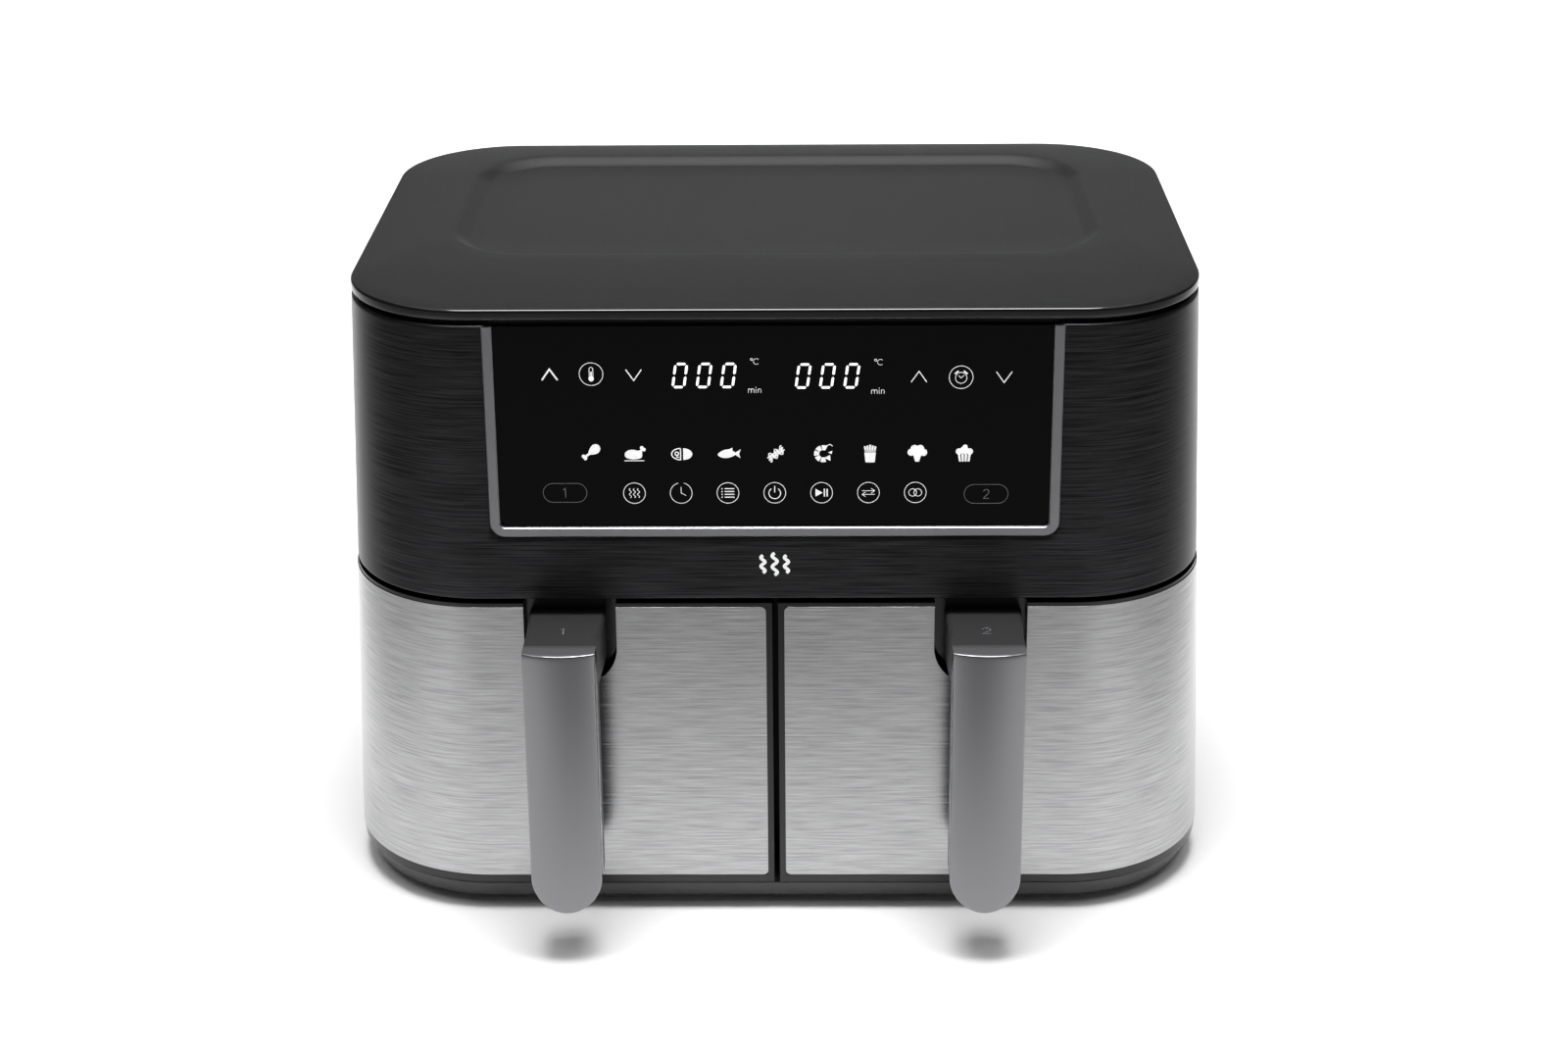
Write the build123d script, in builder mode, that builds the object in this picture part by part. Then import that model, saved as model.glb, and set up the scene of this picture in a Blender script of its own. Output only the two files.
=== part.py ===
"""Countertop air fryer with two side-by-side drawers, millimetres, +Z up, front towards -Y.

The origin is the middle of the footprint, on the surface that the rubber feet stand on.
The whole body is one rounded rectangle in plan that widens downwards at the draft angle,
so most outer pieces are slices of the same tapered block, set in by a wall thickness.
"""

from math import cos, radians, sin, tan
import os

from build123d import *

os.makedirs("parts", exist_ok=True)

# ---------------------------------------------------------------- driving dimensions
lid_width, lid_depth, lid_corner = 400.0, 284.0, 60.0
draft_angle = 2.6  # every side leans in towards the lid by this much
wall = 2.8  # plastic wall of the housing
handle_reach = 49.0  # from a drawer's face to the front of its handle

foot_height = 5.0
base_high = 14.5
drawer_low, drawer_high = 15.5, 163.0
fascia_low, fascia_high = 165.2, 299.0
lid_low, lid_edge, lid_top = 301.5, 306.0, 310.0

chamber_x = 94.0  # middle of each cooking chamber
chamber_width, chamber_top = 176.0, 216.0
sheet = 1.2  # steel of the chamber liners
basket_width, basket_depth, basket_corner = 168.0, 234.0, 40.0
basket_low, basket_high = 18.6, 150.0
basket_sheet, basket_draft = 1.2, 1.5

# ---------------------------------------------------------------- derived values
slope = tan(radians(draft_angle))
body_y = handle_reach / 2 - 1.1  # the handles reach forwards, so the body's middle is behind the origin


def half_width(z):
    return lid_width / 2 + (fascia_high - z) * slope


def half_depth(z):
    return lid_depth / 2 + (fascia_high - z) * slope


def corner(z):
    return lid_corner + (fascia_high - z) * slope


split_y = body_y - lid_depth / 2 + lid_corner + 6  # seam between front pieces and rear shell
frame_y = body_y - lid_depth / 2 + 26  # front face of the inner front frame
frame_thick = 3.0
back_plate_y = frame_y - 3.5  # rear face of each drawer's back plate
liner_front = frame_y + frame_thick
liner_rear = liner_front + 233
basket_y = back_plate_y + basket_depth / 2
fan_y = basket_y

# The front face leans, so what lies on it is drawn on this plane: x is across, y is up the face.
face_normal = (0, -cos(radians(draft_angle)), sin(radians(draft_angle)))
rear_normal = (0, cos(radians(draft_angle)), sin(radians(draft_angle)))


def face_plane(depth=0.0):
    """A plane parallel to the front face, depth millimetres in front of it."""
    foot = body_y - half_depth(0)
    return Plane(
        origin=(0, foot + face_normal[1] * depth, face_normal[2] * depth),
        x_dir=(1, 0, 0),
        z_dir=face_normal,
    )


def rear_plane(depth=0.0):
    """A plane parallel to the rear face, depth millimetres behind it. Its x runs towards -X."""
    foot = body_y + half_depth(0)
    return Plane(
        origin=(0, foot + rear_normal[1] * depth, rear_normal[2] * depth),
        x_dir=(-1, 0, 0),
        z_dir=rear_normal,
    )


def body_slice(low, high, inset=0.0, mode=Mode.ADD):
    """The tapered body between two heights, set in from its outer surface."""
    with BuildSketch(Plane((0, body_y, low))) as plan:
        RectangleRounded(
            2 * (half_width(low) - inset), 2 * (half_depth(low) - inset), corner(low) - inset
        )
    extrude(plan.sketch, amount=high - low, taper=draft_angle, mode=mode)


def block(low, high, mode=Mode.ADD):
    """A plain block between two opposite corners."""
    size = [b - a for a, b in zip(low, high)]
    with Locations(tuple((a + b) / 2 for a, b in zip(low, high))):
        Box(*size, mode=mode)


def in_front_of(y):
    """Keeps what lies in front of a plane across the body."""
    split(bisect_by=Plane.XZ.offset(-y), keep=Keep.TOP)


def behind(y):
    """Keeps what lies behind a plane across the body."""
    split(bisect_by=Plane.XZ.offset(-y), keep=Keep.BOTTOM)


def left_of(x):
    """Keeps what lies to the left of an upright plane."""
    split(bisect_by=Plane.YZ.offset(x), keep=Keep.BOTTOM)


far = 400.0  # past the whole object, for cutting blocks
written = []


def keep(name, piece):
    """Labels a finished piece and writes it."""
    piece.part.label = name
    export_step(piece.part, f"parts/{name}.step")
    written.append(name)


def keep_pair(name, left):
    """Writes a left piece and its mirror image on the right."""
    keep(f"left_{name}", left)
    with BuildPart() as right:
        mirror(left.part, about=Plane.YZ)
    keep(f"right_{name}", right)


def keep_same_pair(name, left):
    """Writes a left piece and the same piece again on the right, for parts with a hand."""
    keep(f"left_{name}", left)
    with BuildPart() as right:
        with Locations((2 * chamber_x, 0, 0)):
            add(left.part)
    keep(f"right_{name}", right)


# ---------------------------------------------------------------- base and feet
base_floor = 3.0
foot_radius, foot_stem = 12.0, 4.0
foot_places = [(x, body_y + y) for x in (-150, 150) for y in (-100, 100)]
screw_places = [(x, y) for x in (-203, 203) for y in (-30, 60)] + [(-60, 168), (60, 168)]
base_tuck = 4.0  # how far the base's lower edge tucks under


def make_base_pan():
    with BuildPart() as base:
        with BuildSketch(Plane((0, body_y, foot_height))):
            RectangleRounded(
                2 * (half_width(base_high) - base_tuck - 1),
                2 * (half_depth(base_high) - base_tuck - 1),
                corner(base_high) - base_tuck - 1,
            )
        with BuildSketch(Plane((0, body_y, base_high))):
            RectangleRounded(
                2 * (half_width(base_high) - 1), 2 * (half_depth(base_high) - 1), corner(base_high) - 1
            )
        loft(ruled=True)
        outer_edges = base.edges().group_by(Axis.Z)[0]
        fillet(outer_edges, radius=2)
        with BuildSketch(Plane((0, body_y, foot_height + base_floor))):
            RectangleRounded(
                2 * (half_width(base_high) - 9), 2 * (half_depth(base_high) - 9), corner(base_high) - 9
            )
        extrude(amount=base_high, mode=Mode.SUBTRACT)
        # posts that carry the chamber liners
        with BuildSketch(Plane.XY.offset(foot_height + base_floor)):
            for side in (-1, 1):
                with Locations((side * chamber_x, basket_y)):
                    with GridLocations(140, 180, 2, 2):
                        Circle(6)
        extrude(amount=17 - foot_height - base_floor)
        # intake slots under each chamber
        with BuildSketch(Plane.XY.offset(foot_height)):
            for side in (-1, 1):
                with Locations((side * chamber_x, basket_y)):
                    with GridLocations(12, 1, 8, 1):
                        SlotOverall(60, 4, rotation=90)
        extrude(amount=base_floor, mode=Mode.SUBTRACT)
        # seats for the feet's stems
        with BuildSketch(Plane.XY.offset(foot_height)):
            with Locations(foot_places):
                Circle(foot_stem)
        extrude(amount=base_floor, mode=Mode.SUBTRACT)
        # screw posts with a clearance hole and a pocket for the head
        with BuildSketch(Plane.XY.offset(foot_height + base_floor)):
            with Locations(screw_places):
                Circle(5)
        extrude(amount=base_high - 0.1 - foot_height - base_floor)
        with Locations([(x, y, foot_height) for x, y in screw_places]):
            with Locations(Location((0, 0, 0), (180, 0, 0))):
                CounterBoreHole(radius=1.8, counter_bore_radius=3.6, counter_bore_depth=2.2, depth=12)
    return base


def make_rubber_feet():
    with BuildPart() as feet:
        with BuildSketch():
            with Locations(foot_places):
                Circle(foot_radius)
        extrude(amount=foot_height, taper=4)
        fillet(feet.edges().group_by(Axis.Z)[0], radius=1)
        with BuildSketch(Plane.XY.offset(foot_height)):
            with Locations(foot_places):
                Circle(foot_stem - 0.05)
        extrude(amount=base_floor - 0.2)
    return feet


def make_housing_screws():
    with BuildPart() as screws:
        with BuildSketch(Plane.XY.offset(foot_height + 0.4)):
            with Locations(screw_places):
                Circle(3.2)
        extrude(amount=1.8)
        with BuildSketch(Plane.XY.offset(foot_height + 2.2)):
            with Locations(screw_places):
                Circle(1.5)
        extrude(amount=18)
        with BuildSketch(Plane.XY.offset(foot_height + 0.4)):
            with Locations(screw_places):
                with PolarLocations(0, 2, angular_range=180):
                    Rectangle(3.4, 0.8)
        extrude(amount=0.9, mode=Mode.SUBTRACT)
    return screws


# ---------------------------------------------------------------- rear shell and its fittings
grille_width, grille_height, grille_z = 70.0, 34.0, 196.0
gland_x, gland_z = 110.0, 32.0
gland_neck, gland_flange, cord_hole = 8.0, 11.0, 3.7
gland_foot = 16.0  # the gland's slot is open downwards, and the gland fills it from here up
boss_low, boss_height = base_high + 0.3, 28.0


def gland_outline(radius, foot):
    """Round above and square below, as seen on the rear face, from the cord's hole down to foot."""
    with BuildSketch(mode=Mode.PRIVATE) as shape:
        with Locations((-gland_x, gland_z)):
            Circle(radius)
        with Locations((-gland_x, (gland_z + foot) / 2)):
            Rectangle(2 * radius, gland_z - foot)
    return shape.sketch


shell_split = lid_width / 2 - lid_corner  # the flat rear panel ends where the corners begin


def make_rear_shell():
    """The sides, corners and rear of the housing in one, to be divided into its three mouldings."""
    with BuildPart() as shell:
        body_slice(base_high + 0.3, fascia_high)
        body_slice(base_high - 1, fascia_high + 2, wall, Mode.SUBTRACT)
        # the sides and rear only: the front belongs to the fascia and the drawers
        behind(split_y + 0.2)
        # bosses for the base screws, each with a web to the wall
        with BuildSketch(Plane.XY.offset(boss_low)):
            with Locations(screw_places):
                Circle(5)
            with Locations([(x + (4 if x > 0 else -4), y) for x, y in screw_places[:4]]):
                Rectangle(8, 6)
            with Locations([(x, y + 4.5) for x, y in screw_places[4:]]):
                Rectangle(6, 9)
        extrude(amount=boss_height)
        with BuildSketch(Plane.XY.offset(boss_low)):
            with Locations(screw_places):
                Circle(1.6)
        extrude(amount=16, mode=Mode.SUBTRACT)
        # exhaust openings
        with BuildSketch(rear_plane(1)):
            with Locations((-chamber_x, grille_z), (chamber_x, grille_z)):
                Rectangle(grille_width, grille_height)
        extrude(amount=-8, mode=Mode.SUBTRACT)
        # air intake louvres for the motors
        with BuildSketch(rear_plane(1)):
            with Locations((-chamber_x, 262), (chamber_x, 262)):
                with GridLocations(9, 1, 9, 1):
                    SlotOverall(34, 4, rotation=90)
        extrude(amount=-8, mode=Mode.SUBTRACT)
        # slot for the cord gland, open at the lower edge
        slot = gland_outline(gland_neck + 0.1, 0)
        with BuildSketch(rear_plane(1)):
            add(slot)
        extrude(amount=-8, mode=Mode.SUBTRACT)
    return shell


def make_side_shell(shell):
    """The left side wall with its rear corner."""
    with BuildPart() as side:
        add(shell.part)
        left_of(-shell_split - 0.1)
    return side


def make_rear_panel(shell):
    """The flat rear wall between the corners."""
    with BuildPart() as panel:
        add(shell.part)
        block((-far, -far, -far), (-shell_split + 0.1, far, far), Mode.SUBTRACT)
        block((shell_split - 0.1, -far, -far), (far, far, far), Mode.SUBTRACT)
    return panel


def make_rear_grilles():
    with BuildPart() as grilles:
        with BuildSketch(rear_plane(-wall)):
            with Locations((-chamber_x, grille_z), (chamber_x, grille_z)):
                RectangleRounded(grille_width - 0.4, grille_height - 0.4, 1)
        extrude(amount=wall + 0.6)
        with BuildSketch(rear_plane(-wall)):
            with Locations((-chamber_x, grille_z), (chamber_x, grille_z)):
                with GridLocations(1, 6, 1, 5):
                    SlotOverall(58, 3)
        extrude(amount=wall + 1, mode=Mode.SUBTRACT)
        chamfer(grilles.faces().sort_by(Axis.Y)[-2:].edges(), length=0.4)
    return grilles


def make_cord_gland():
    flange = gland_outline(gland_flange, gland_foot)
    neck = gland_outline(gland_neck, gland_foot)
    with BuildPart() as gland:
        with BuildSketch(rear_plane(0)):
            add(flange)
        extrude(amount=1.8)
        fillet(gland.faces().sort_by(Axis.Y)[-1].edges(), radius=0.8)
        with BuildSketch(rear_plane(-9)):
            add(neck)
        extrude(amount=9)
        with BuildSketch(rear_plane(-9)):
            with Locations((-gland_x, gland_z)):
                Circle(cord_hole)
        extrude(amount=12, mode=Mode.SUBTRACT)
    return gland


# ---------------------------------------------------------------- fascia and control panel
panel_half, panel_low = 132.5, 197.0
trim_width, trim_proud = 4.7, 1.2
glass_front, glass_back = -0.8, -3.0
board_front, board_thick = -12.4, 1.6
cap_inset = 9.0  # depth of the inward rim round a side seam


def make_front_fascia():
    with BuildPart() as fascia:
        body_slice(fascia_low, fascia_high)
        body_slice(fascia_low + 2.5, fascia_high + 2, wall, Mode.SUBTRACT)
        in_front_of(split_y)
        # the bottom flange stops at the front frame, and is a narrow rim along the sides
        with BuildSketch(Plane((0, body_y, fascia_low - 1))):
            RectangleRounded(
                2 * (half_width(fascia_low) - cap_inset),
                2 * (half_depth(fascia_low) - cap_inset),
                corner(fascia_low) - cap_inset,
            )
            with Locations((0, frame_y - 0.3 - body_y - far / 2)):
                Rectangle(2 * far, far, mode=Mode.SUBTRACT)
        extrude(amount=5, mode=Mode.SUBTRACT)
        with BuildSketch(face_plane(2)) as opening:
            with Locations((0, (panel_low + fascia_high + 10) / 2)):
                Rectangle(2 * panel_half, fascia_high + 10 - panel_low)
            fillet(opening.vertices().group_by(Axis.Y)[0], radius=7)
        extrude(amount=-10, mode=Mode.SUBTRACT)
    return fascia


def panel_window(edge, low, high):
    """The opening inside the panel's trim, set in by edge, with its lower corners cut off."""
    with BuildSketch(mode=Mode.PRIVATE) as shape:
        with Locations((0, (low + high) / 2)):
            Rectangle(2 * (panel_half - trim_width - edge), high - low)
        chamfer(shape.vertices().group_by(Axis.Y)[0], length=3)
    return shape.sketch


def make_panel_trim():
    high = fascia_high - 0.3
    window = panel_window(0, panel_low + trim_width, high + 4)
    with BuildPart() as trim:
        with BuildSketch(face_plane(-wall)) as outline:
            with Locations((0, (panel_low + 0.1 + high) / 2)):
                Rectangle(2 * panel_half - 0.2, high - panel_low - 0.1)
            fillet(outline.vertices().group_by(Axis.Y)[0], radius=6.9)
            add(window, mode=Mode.SUBTRACT)
        extrude(amount=wall + trim_proud)
        front = trim.faces().sort_by(Axis((0, 0, 0), face_normal))[-1]
        long_edges = front.edges().filter_by(lambda e: e.center().Z < high - 2)
        chamfer(long_edges, length=0.6)
    return trim


def make_control_glass():
    window = panel_window(0.1, panel_low + trim_width + 0.1, fascia_high - 0.4)
    with BuildPart() as glass:
        with BuildSketch(face_plane(glass_back)):
            add(window)
        extrude(amount=glass_front - glass_back)
    return glass


display_places = [(-31.5, 275), (25, 275)]
key_rows = {
    275: [-102, -83, -64, 66.5, 85.5, 105],
    237.5: [21.7 * i for i in range(-4, 5)],
    218: [-98] + [21.7 * i for i in range(-3, 4)] + [98],
}


def make_control_board():
    with BuildPart() as board:
        with BuildSketch(face_plane(board_front - board_thick)):
            with Locations((0, 250)):
                RectangleRounded(240, 84, 3)
        extrude(amount=board_thick)
        # pillars up to the back of the glass
        with BuildSketch(face_plane(board_front)):
            with Locations((0, 250)):
                with GridLocations(232, 74, 2, 2):
                    Circle(2.5)
        extrude(amount=glass_back - board_front)
        # controller chip and connector on the rear
        with BuildSketch(face_plane(board_front - board_thick)):
            with Locations((0, 245)):
                Rectangle(14, 14)
            with Locations((60, 250)):
                Rectangle(22, 6)
        extrude(amount=-3)
    return board


def make_display_modules():
    with BuildPart() as displays:
        with BuildSketch(face_plane(board_front)):
            with Locations(display_places):
                RectangleRounded(38, 18, 1)
        extrude(amount=8.5)
    return displays


def make_touch_springs():
    with BuildPart() as springs:
        with BuildSketch(face_plane(board_front)):
            for height, places in key_rows.items():
                with Locations([(x, height) for x in places]):
                    Circle(3.2)
                    Circle(2.0, mode=Mode.SUBTRACT)
        extrude(amount=glass_back - board_front - 0.1)
    return springs


# ---------------------------------------------------------------- top cover
tray_width, tray_depth, tray_corner = 314.0, 172.0, 36.0
tray_y = body_y + 17.5
tray_floor = 305.0


def make_top_cover():
    with BuildPart() as cover:
        with BuildSketch(Plane((0, body_y, lid_low))):
            RectangleRounded(lid_width, lid_depth, lid_corner)
        extrude(amount=lid_edge - lid_low)
        chamfer(cover.edges().group_by(Axis.Z)[-1], length=1.2)
        # the top rises gently from the edge to the rim of the tray
        with BuildSketch(Plane((0, body_y, lid_edge))):
            RectangleRounded(lid_width - 2.4, lid_depth - 2.4, lid_corner - 1.2)
        with BuildSketch(Plane((0, tray_y, lid_top))):
            RectangleRounded(tray_width + 14, tray_depth + 14, tray_corner + 7)
        loft(ruled=True)
        with BuildSketch(Plane((0, tray_y, tray_floor))):
            RectangleRounded(tray_width - 8, tray_depth - 8, tray_corner - 4)
        extrude(amount=lid_top - tray_floor, taper=-45, mode=Mode.SUBTRACT)
        # hollow underneath, with a lip that drops inside the housing walls
        with BuildSketch(Plane((0, body_y, lid_low))):
            RectangleRounded(lid_width - 12, lid_depth - 12, lid_corner - 6)
        extrude(amount=1.4, mode=Mode.SUBTRACT)
        with BuildSketch(Plane((0, body_y, fascia_high - 5))):
            RectangleRounded(lid_width - 8, lid_depth - 8, lid_corner - 4)
            RectangleRounded(lid_width - 12, lid_depth - 12, lid_corner - 6, mode=Mode.SUBTRACT)
        extrude(amount=lid_low - fascia_high + 5)
    return cover


# ---------------------------------------------------------------- front frame and chambers
opening_low, opening_high = 18.2, 153.0
chamber_inner = chamber_x - chamber_width / 2  # the side next to the middle wall
chamber_outer = chamber_x + chamber_width / 2
duct_z, duct_width, duct_height = grille_z - 2, 64.0, 26.0
opening_inner, opening_outer = chamber_inner + 2.5, chamber_outer - 2.5
heater_radii, heater_tube, heater_z = (68.0, 54.0), 3.25, 188.0
heater_open = 12.0  # the two rings stop this many degrees short of the rear on each side


def heater_ends():
    """Where the tube's two ends turn up through the roof, just left of the rear."""
    turn = radians(90 + heater_open)
    return [(-chamber_x + r * cos(turn), fan_y + r * sin(turn)) for r in heater_radii]


sensor_place = (-chamber_x - 58, fan_y + 76)


def make_front_frame():
    frame_low, frame_high = base_high + 0.7, 292.0
    with BuildPart() as frame:
        body_slice(frame_low, frame_high, cap_inset + 1)
        behind(frame_y)
        in_front_of(liner_front - 0.05)
        for x in (-chamber_x, chamber_x):
            with BuildSketch(Plane((x, frame_y - 1, 0), (1, 0, 0), (0, -1, 0))):
                with Locations((0, (opening_low + opening_high) / 2)):
                    Rectangle(opening_outer - opening_inner, opening_high - opening_low)
            extrude(amount=-10, mode=Mode.SUBTRACT)
        # ribs that stiffen the part behind the control board
        for x in (-150, -50, 50, 150):
            block((x - 1, liner_front - 1, chamber_top + 8), (x + 1, liner_front + 8, 290))
    return frame


def make_chamber_liner():
    with BuildPart() as liner:
        with BuildSketch(Plane.XY.offset(17)) as plan:
            with Locations((-chamber_x, (liner_front + liner_rear) / 2)):
                Rectangle(chamber_width, liner_rear - liner_front)
            fillet(plan.vertices().group_by(Axis.Y)[-1], radius=30)
        extrude(amount=chamber_top - 17)
        with BuildSketch(Plane.XY.offset(17 + sheet)) as hollow:
            with Locations((-chamber_x, (liner_front + liner_rear) / 2)):
                Rectangle(chamber_width - 2 * sheet, liner_rear - liner_front - 2 * sheet)
            fillet(hollow.vertices().group_by(Axis.Y)[-1], radius=30 - sheet)
        extrude(amount=chamber_top - 17 - 2 * sheet, mode=Mode.SUBTRACT)
        # mouth for the drawer
        block(
            (-opening_outer, liner_front - 1, opening_low),
            (-opening_inner, liner_front + 5, opening_high),
            Mode.SUBTRACT,
        )
        # roof holes for the shaft, the heater's ends and the sensor
        with BuildSketch(Plane.XY.offset(chamber_top - 3)):
            with Locations((-chamber_x, fan_y)):
                Circle(6)
            with Locations(heater_ends()):
                Circle(heater_tube + 0.6)
            with Locations(sensor_place):
                Circle(2.7)
        extrude(amount=5, mode=Mode.SUBTRACT)
        # exhaust opening at the rear
        with BuildSketch(Plane((-chamber_x, liner_rear + 1, duct_z), (-1, 0, 0), (0, 1, 0))):
            Rectangle(duct_width - 8, duct_height - 8)
        extrude(amount=-5, mode=Mode.SUBTRACT)
    return liner


def make_exhaust_ducts():
    with BuildPart() as ducts:
        with BuildSketch(Plane((0, liner_rear + 0.05, duct_z), (-1, 0, 0), (0, 1, 0))):
            with Locations((-chamber_x, 0), (chamber_x, 0)):
                Rectangle(duct_width, duct_height)
                Rectangle(duct_width - 3, duct_height - 3, mode=Mode.SUBTRACT)
        extrude(amount=body_y + half_depth(grille_z + grille_height / 2) - wall - liner_rear - 0.5)
    return ducts


# ---------------------------------------------------------------- heater, fans and motors
def make_heating_element():
    """Two rings of tube joined by a turn at the rear, so that both ends come up side by side."""
    outer, inner = heater_radii
    middle = (outer + inner) / 2
    turn = radians(90 - heater_open)
    sweep_angle = 360 - 2 * heater_open
    with BuildPart() as heater:
        with BuildLine(Plane((-chamber_x, fan_y, heater_z))) as route:
            CenterArc((0, 0), outer, 90 + heater_open, sweep_angle)
            CenterArc(
                (middle * cos(turn), middle * sin(turn)), (outer - inner) / 2, 90 - heater_open, 180
            )
            CenterArc((0, 0), inner, 90 - heater_open, -sweep_angle)
        tube = route.wires()[0]
        with BuildSketch(Plane(tube @ 0, z_dir=tube % 0)):
            Circle(heater_tube)
        sweep(path=tube)
        with Locations([(x, y, heater_z) for x, y in heater_ends()]):
            Sphere(heater_tube)
        with BuildSketch(Plane.XY.offset(heater_z)):
            with Locations(heater_ends()):
                Circle(heater_tube)
        extrude(amount=chamber_top + 10 - heater_z)
        # spade terminals
        with BuildSketch(Plane.XY.offset(chamber_top + 10)):
            with Locations(heater_ends()):
                Rectangle(0.8, 5)
        extrude(amount=7)
    return heater


guard_z, guard_wire, guard_leg = 175.0, 2.6, 1.1
guard_radii = (24.0, 50.0, 76.0)


def make_heater_guard():
    """A wheel of wire under the heater, hung from the roof on four legs."""
    with BuildPart() as guard:
        with BuildSketch(Plane((-chamber_x, fan_y, guard_z - guard_wire / 2))):
            for radius in guard_radii:
                Circle(radius + guard_wire / 2)
                Circle(radius - guard_wire / 2, mode=Mode.SUBTRACT)
            with PolarLocations(0, 4, angular_range=180):
                Rectangle(2 * guard_radii[-1], guard_wire)
        extrude(amount=guard_wire)
        with BuildSketch(Plane((-chamber_x, fan_y, guard_z))):
            with PolarLocations(guard_radii[-1], 4, start_angle=45):
                Circle(guard_leg)
        extrude(amount=chamber_top - sheet - guard_z - 0.1)
    return guard


shaft_radius = 4.0
fan_top = 211.0
stack_low, stack_high, rotor_radius = 247.0, 271.0, 14.0


def make_convection_fan():
    with BuildPart() as fan:
        with BuildSketch(Plane((-chamber_x, fan_y, fan_top - 1.2))):
            Circle(46)
            with PolarLocations(32, 12, start_angle=15):
                SlotOverall(14, 4, mode=Mode.SUBTRACT)
        extrude(amount=1.2)
        # blades bent down from the disc
        with Locations((-chamber_x, fan_y, fan_top - 1.2)):
            with PolarLocations(34, 12):
                Box(22, 1.2, 11, rotation=(0, 0, 24), align=(Align.CENTER, Align.CENTER, Align.MAX))
        with BuildSketch(Plane((-chamber_x, fan_y, fan_top - 11))):
            Circle(9)
        extrude(amount=12)
        # nut under the hub
        with BuildSketch(Plane((-chamber_x, fan_y, fan_top - 15))):
            RegularPolygon(7, 6)
        extrude(amount=4)
        with BuildSketch(Plane((-chamber_x, fan_y, fan_top - 16))):
            Circle(shaft_radius + 0.02)
        extrude(amount=20, mode=Mode.SUBTRACT)
    return fan


def make_cooling_fan():
    with BuildPart() as fan:
        with BuildSketch(Plane((-chamber_x, fan_y, 221))):
            Circle(44)
        extrude(amount=1.5)
        with BuildSketch(Plane((-chamber_x, fan_y, 221))):
            Circle(10)
        extrude(amount=12)
        with Locations((-chamber_x, fan_y, 222.5)):
            with PolarLocations(27, 9):
                Box(32, 1.5, 9, rotation=(0, 0, 18), align=(Align.CENTER, Align.CENTER, Align.MIN))
        with BuildSketch(Plane((-chamber_x, fan_y, 220))):
            Circle(shaft_radius + 0.02)
        extrude(amount=15, mode=Mode.SUBTRACT)
    return fan


def make_motor_shaft():
    with BuildPart() as shaft:
        with BuildSketch(Plane((-chamber_x, fan_y, fan_top - 17))):
            Circle(shaft_radius)
        extrude(amount=286 - fan_top + 17)
        with BuildSketch(Plane((-chamber_x, fan_y, stack_low))):
            Circle(rotor_radius)
        extrude(amount=stack_high - stack_low)
        chamfer(shaft.edges().group_by(Axis.Z)[-1], length=0.6)
    return shaft


bush_outer, bush_inner = 8.0, shaft_radius + 0.05
bush_places = [236.0, 277.0]
bush_length = 7.0


def make_motor_bushes():
    with BuildPart() as bushes:
        for z in bush_places:
            with BuildSketch(Plane((-chamber_x, fan_y, z))):
                Circle(bush_outer)
                Circle(bush_inner, mode=Mode.SUBTRACT)
            extrude(amount=bush_length)
    return bushes


def make_motor_stator():
    with BuildPart() as stator:
        with BuildSketch(Plane((-chamber_x, fan_y, stack_low))):
            with Locations((0, -10)):
                RectangleRounded(58, 76, 3)
            with Locations((0, -32)):
                RectangleRounded(26, 10, 1, mode=Mode.SUBTRACT)
            Circle(rotor_radius + 0.6, mode=Mode.SUBTRACT)
        extrude(amount=stack_high - stack_low)
        # winding on the rear leg of the stack
        with BuildSketch(Plane((-chamber_x, fan_y - 42, stack_low - 5))):
            RectangleRounded(25, 15, 2)
        extrude(amount=stack_high - stack_low + 10)
    return stator


def make_motor_bracket():
    leg = 54.0
    with BuildPart() as bracket:
        # lower strap: a bridge over the cooling fan that carries the stack
        with BuildSketch(Plane((-chamber_x, fan_y, 238))):
            Rectangle(2 * leg, 24)
        extrude(amount=1.6)
        for end in (-1, 1):
            with BuildSketch(Plane((-chamber_x + end * (leg - 0.8), fan_y, chamber_top + 0.1))):
                Rectangle(1.6, 24)
            extrude(amount=238 - chamber_top)
            with BuildSketch(Plane((-chamber_x + end * (leg + 4), fan_y, chamber_top + 0.1))):
                Rectangle(10, 24)
            extrude(amount=1.6)
        with BuildSketch(Plane((-chamber_x, fan_y, 238))):
            with Locations((22, 0), (-22, 0)):
                Circle(3)
        extrude(amount=stack_low - 238 - 0.05)
        with BuildSketch(Plane((-chamber_x, fan_y, bush_places[0]))):
            Circle(bush_outer + 2.5)
        extrude(amount=bush_length)
        # upper strap
        with BuildSketch(Plane((-chamber_x, fan_y, 279))):
            Rectangle(50, 16)
        extrude(amount=1.6)
        for end in (-1, 1):
            with BuildSketch(Plane((-chamber_x + end * 22, fan_y, stack_high + 0.05))):
                Rectangle(4, 16)
            extrude(amount=8)
        with BuildSketch(Plane((-chamber_x, fan_y, bush_places[1]))):
            Circle(bush_outer + 2.5)
        extrude(amount=bush_length)
        with BuildSketch(Plane((-chamber_x, fan_y, 230))):
            Circle(bush_outer + 0.02)
        extrude(amount=60, mode=Mode.SUBTRACT)
    return bracket


def make_temperature_sensors():
    with BuildPart() as sensors:
        for side in (1, -1):
            x, y = side * sensor_place[0], sensor_place[1]
            with BuildSketch(Plane((x, y, chamber_top - 24))):
                Circle(2.4)
            extrude(amount=36)
            with BuildSketch(Plane((x, y, chamber_top + 0.1))):
                RegularPolygon(5, 6)
            extrude(amount=5)
    return sensors


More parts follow.
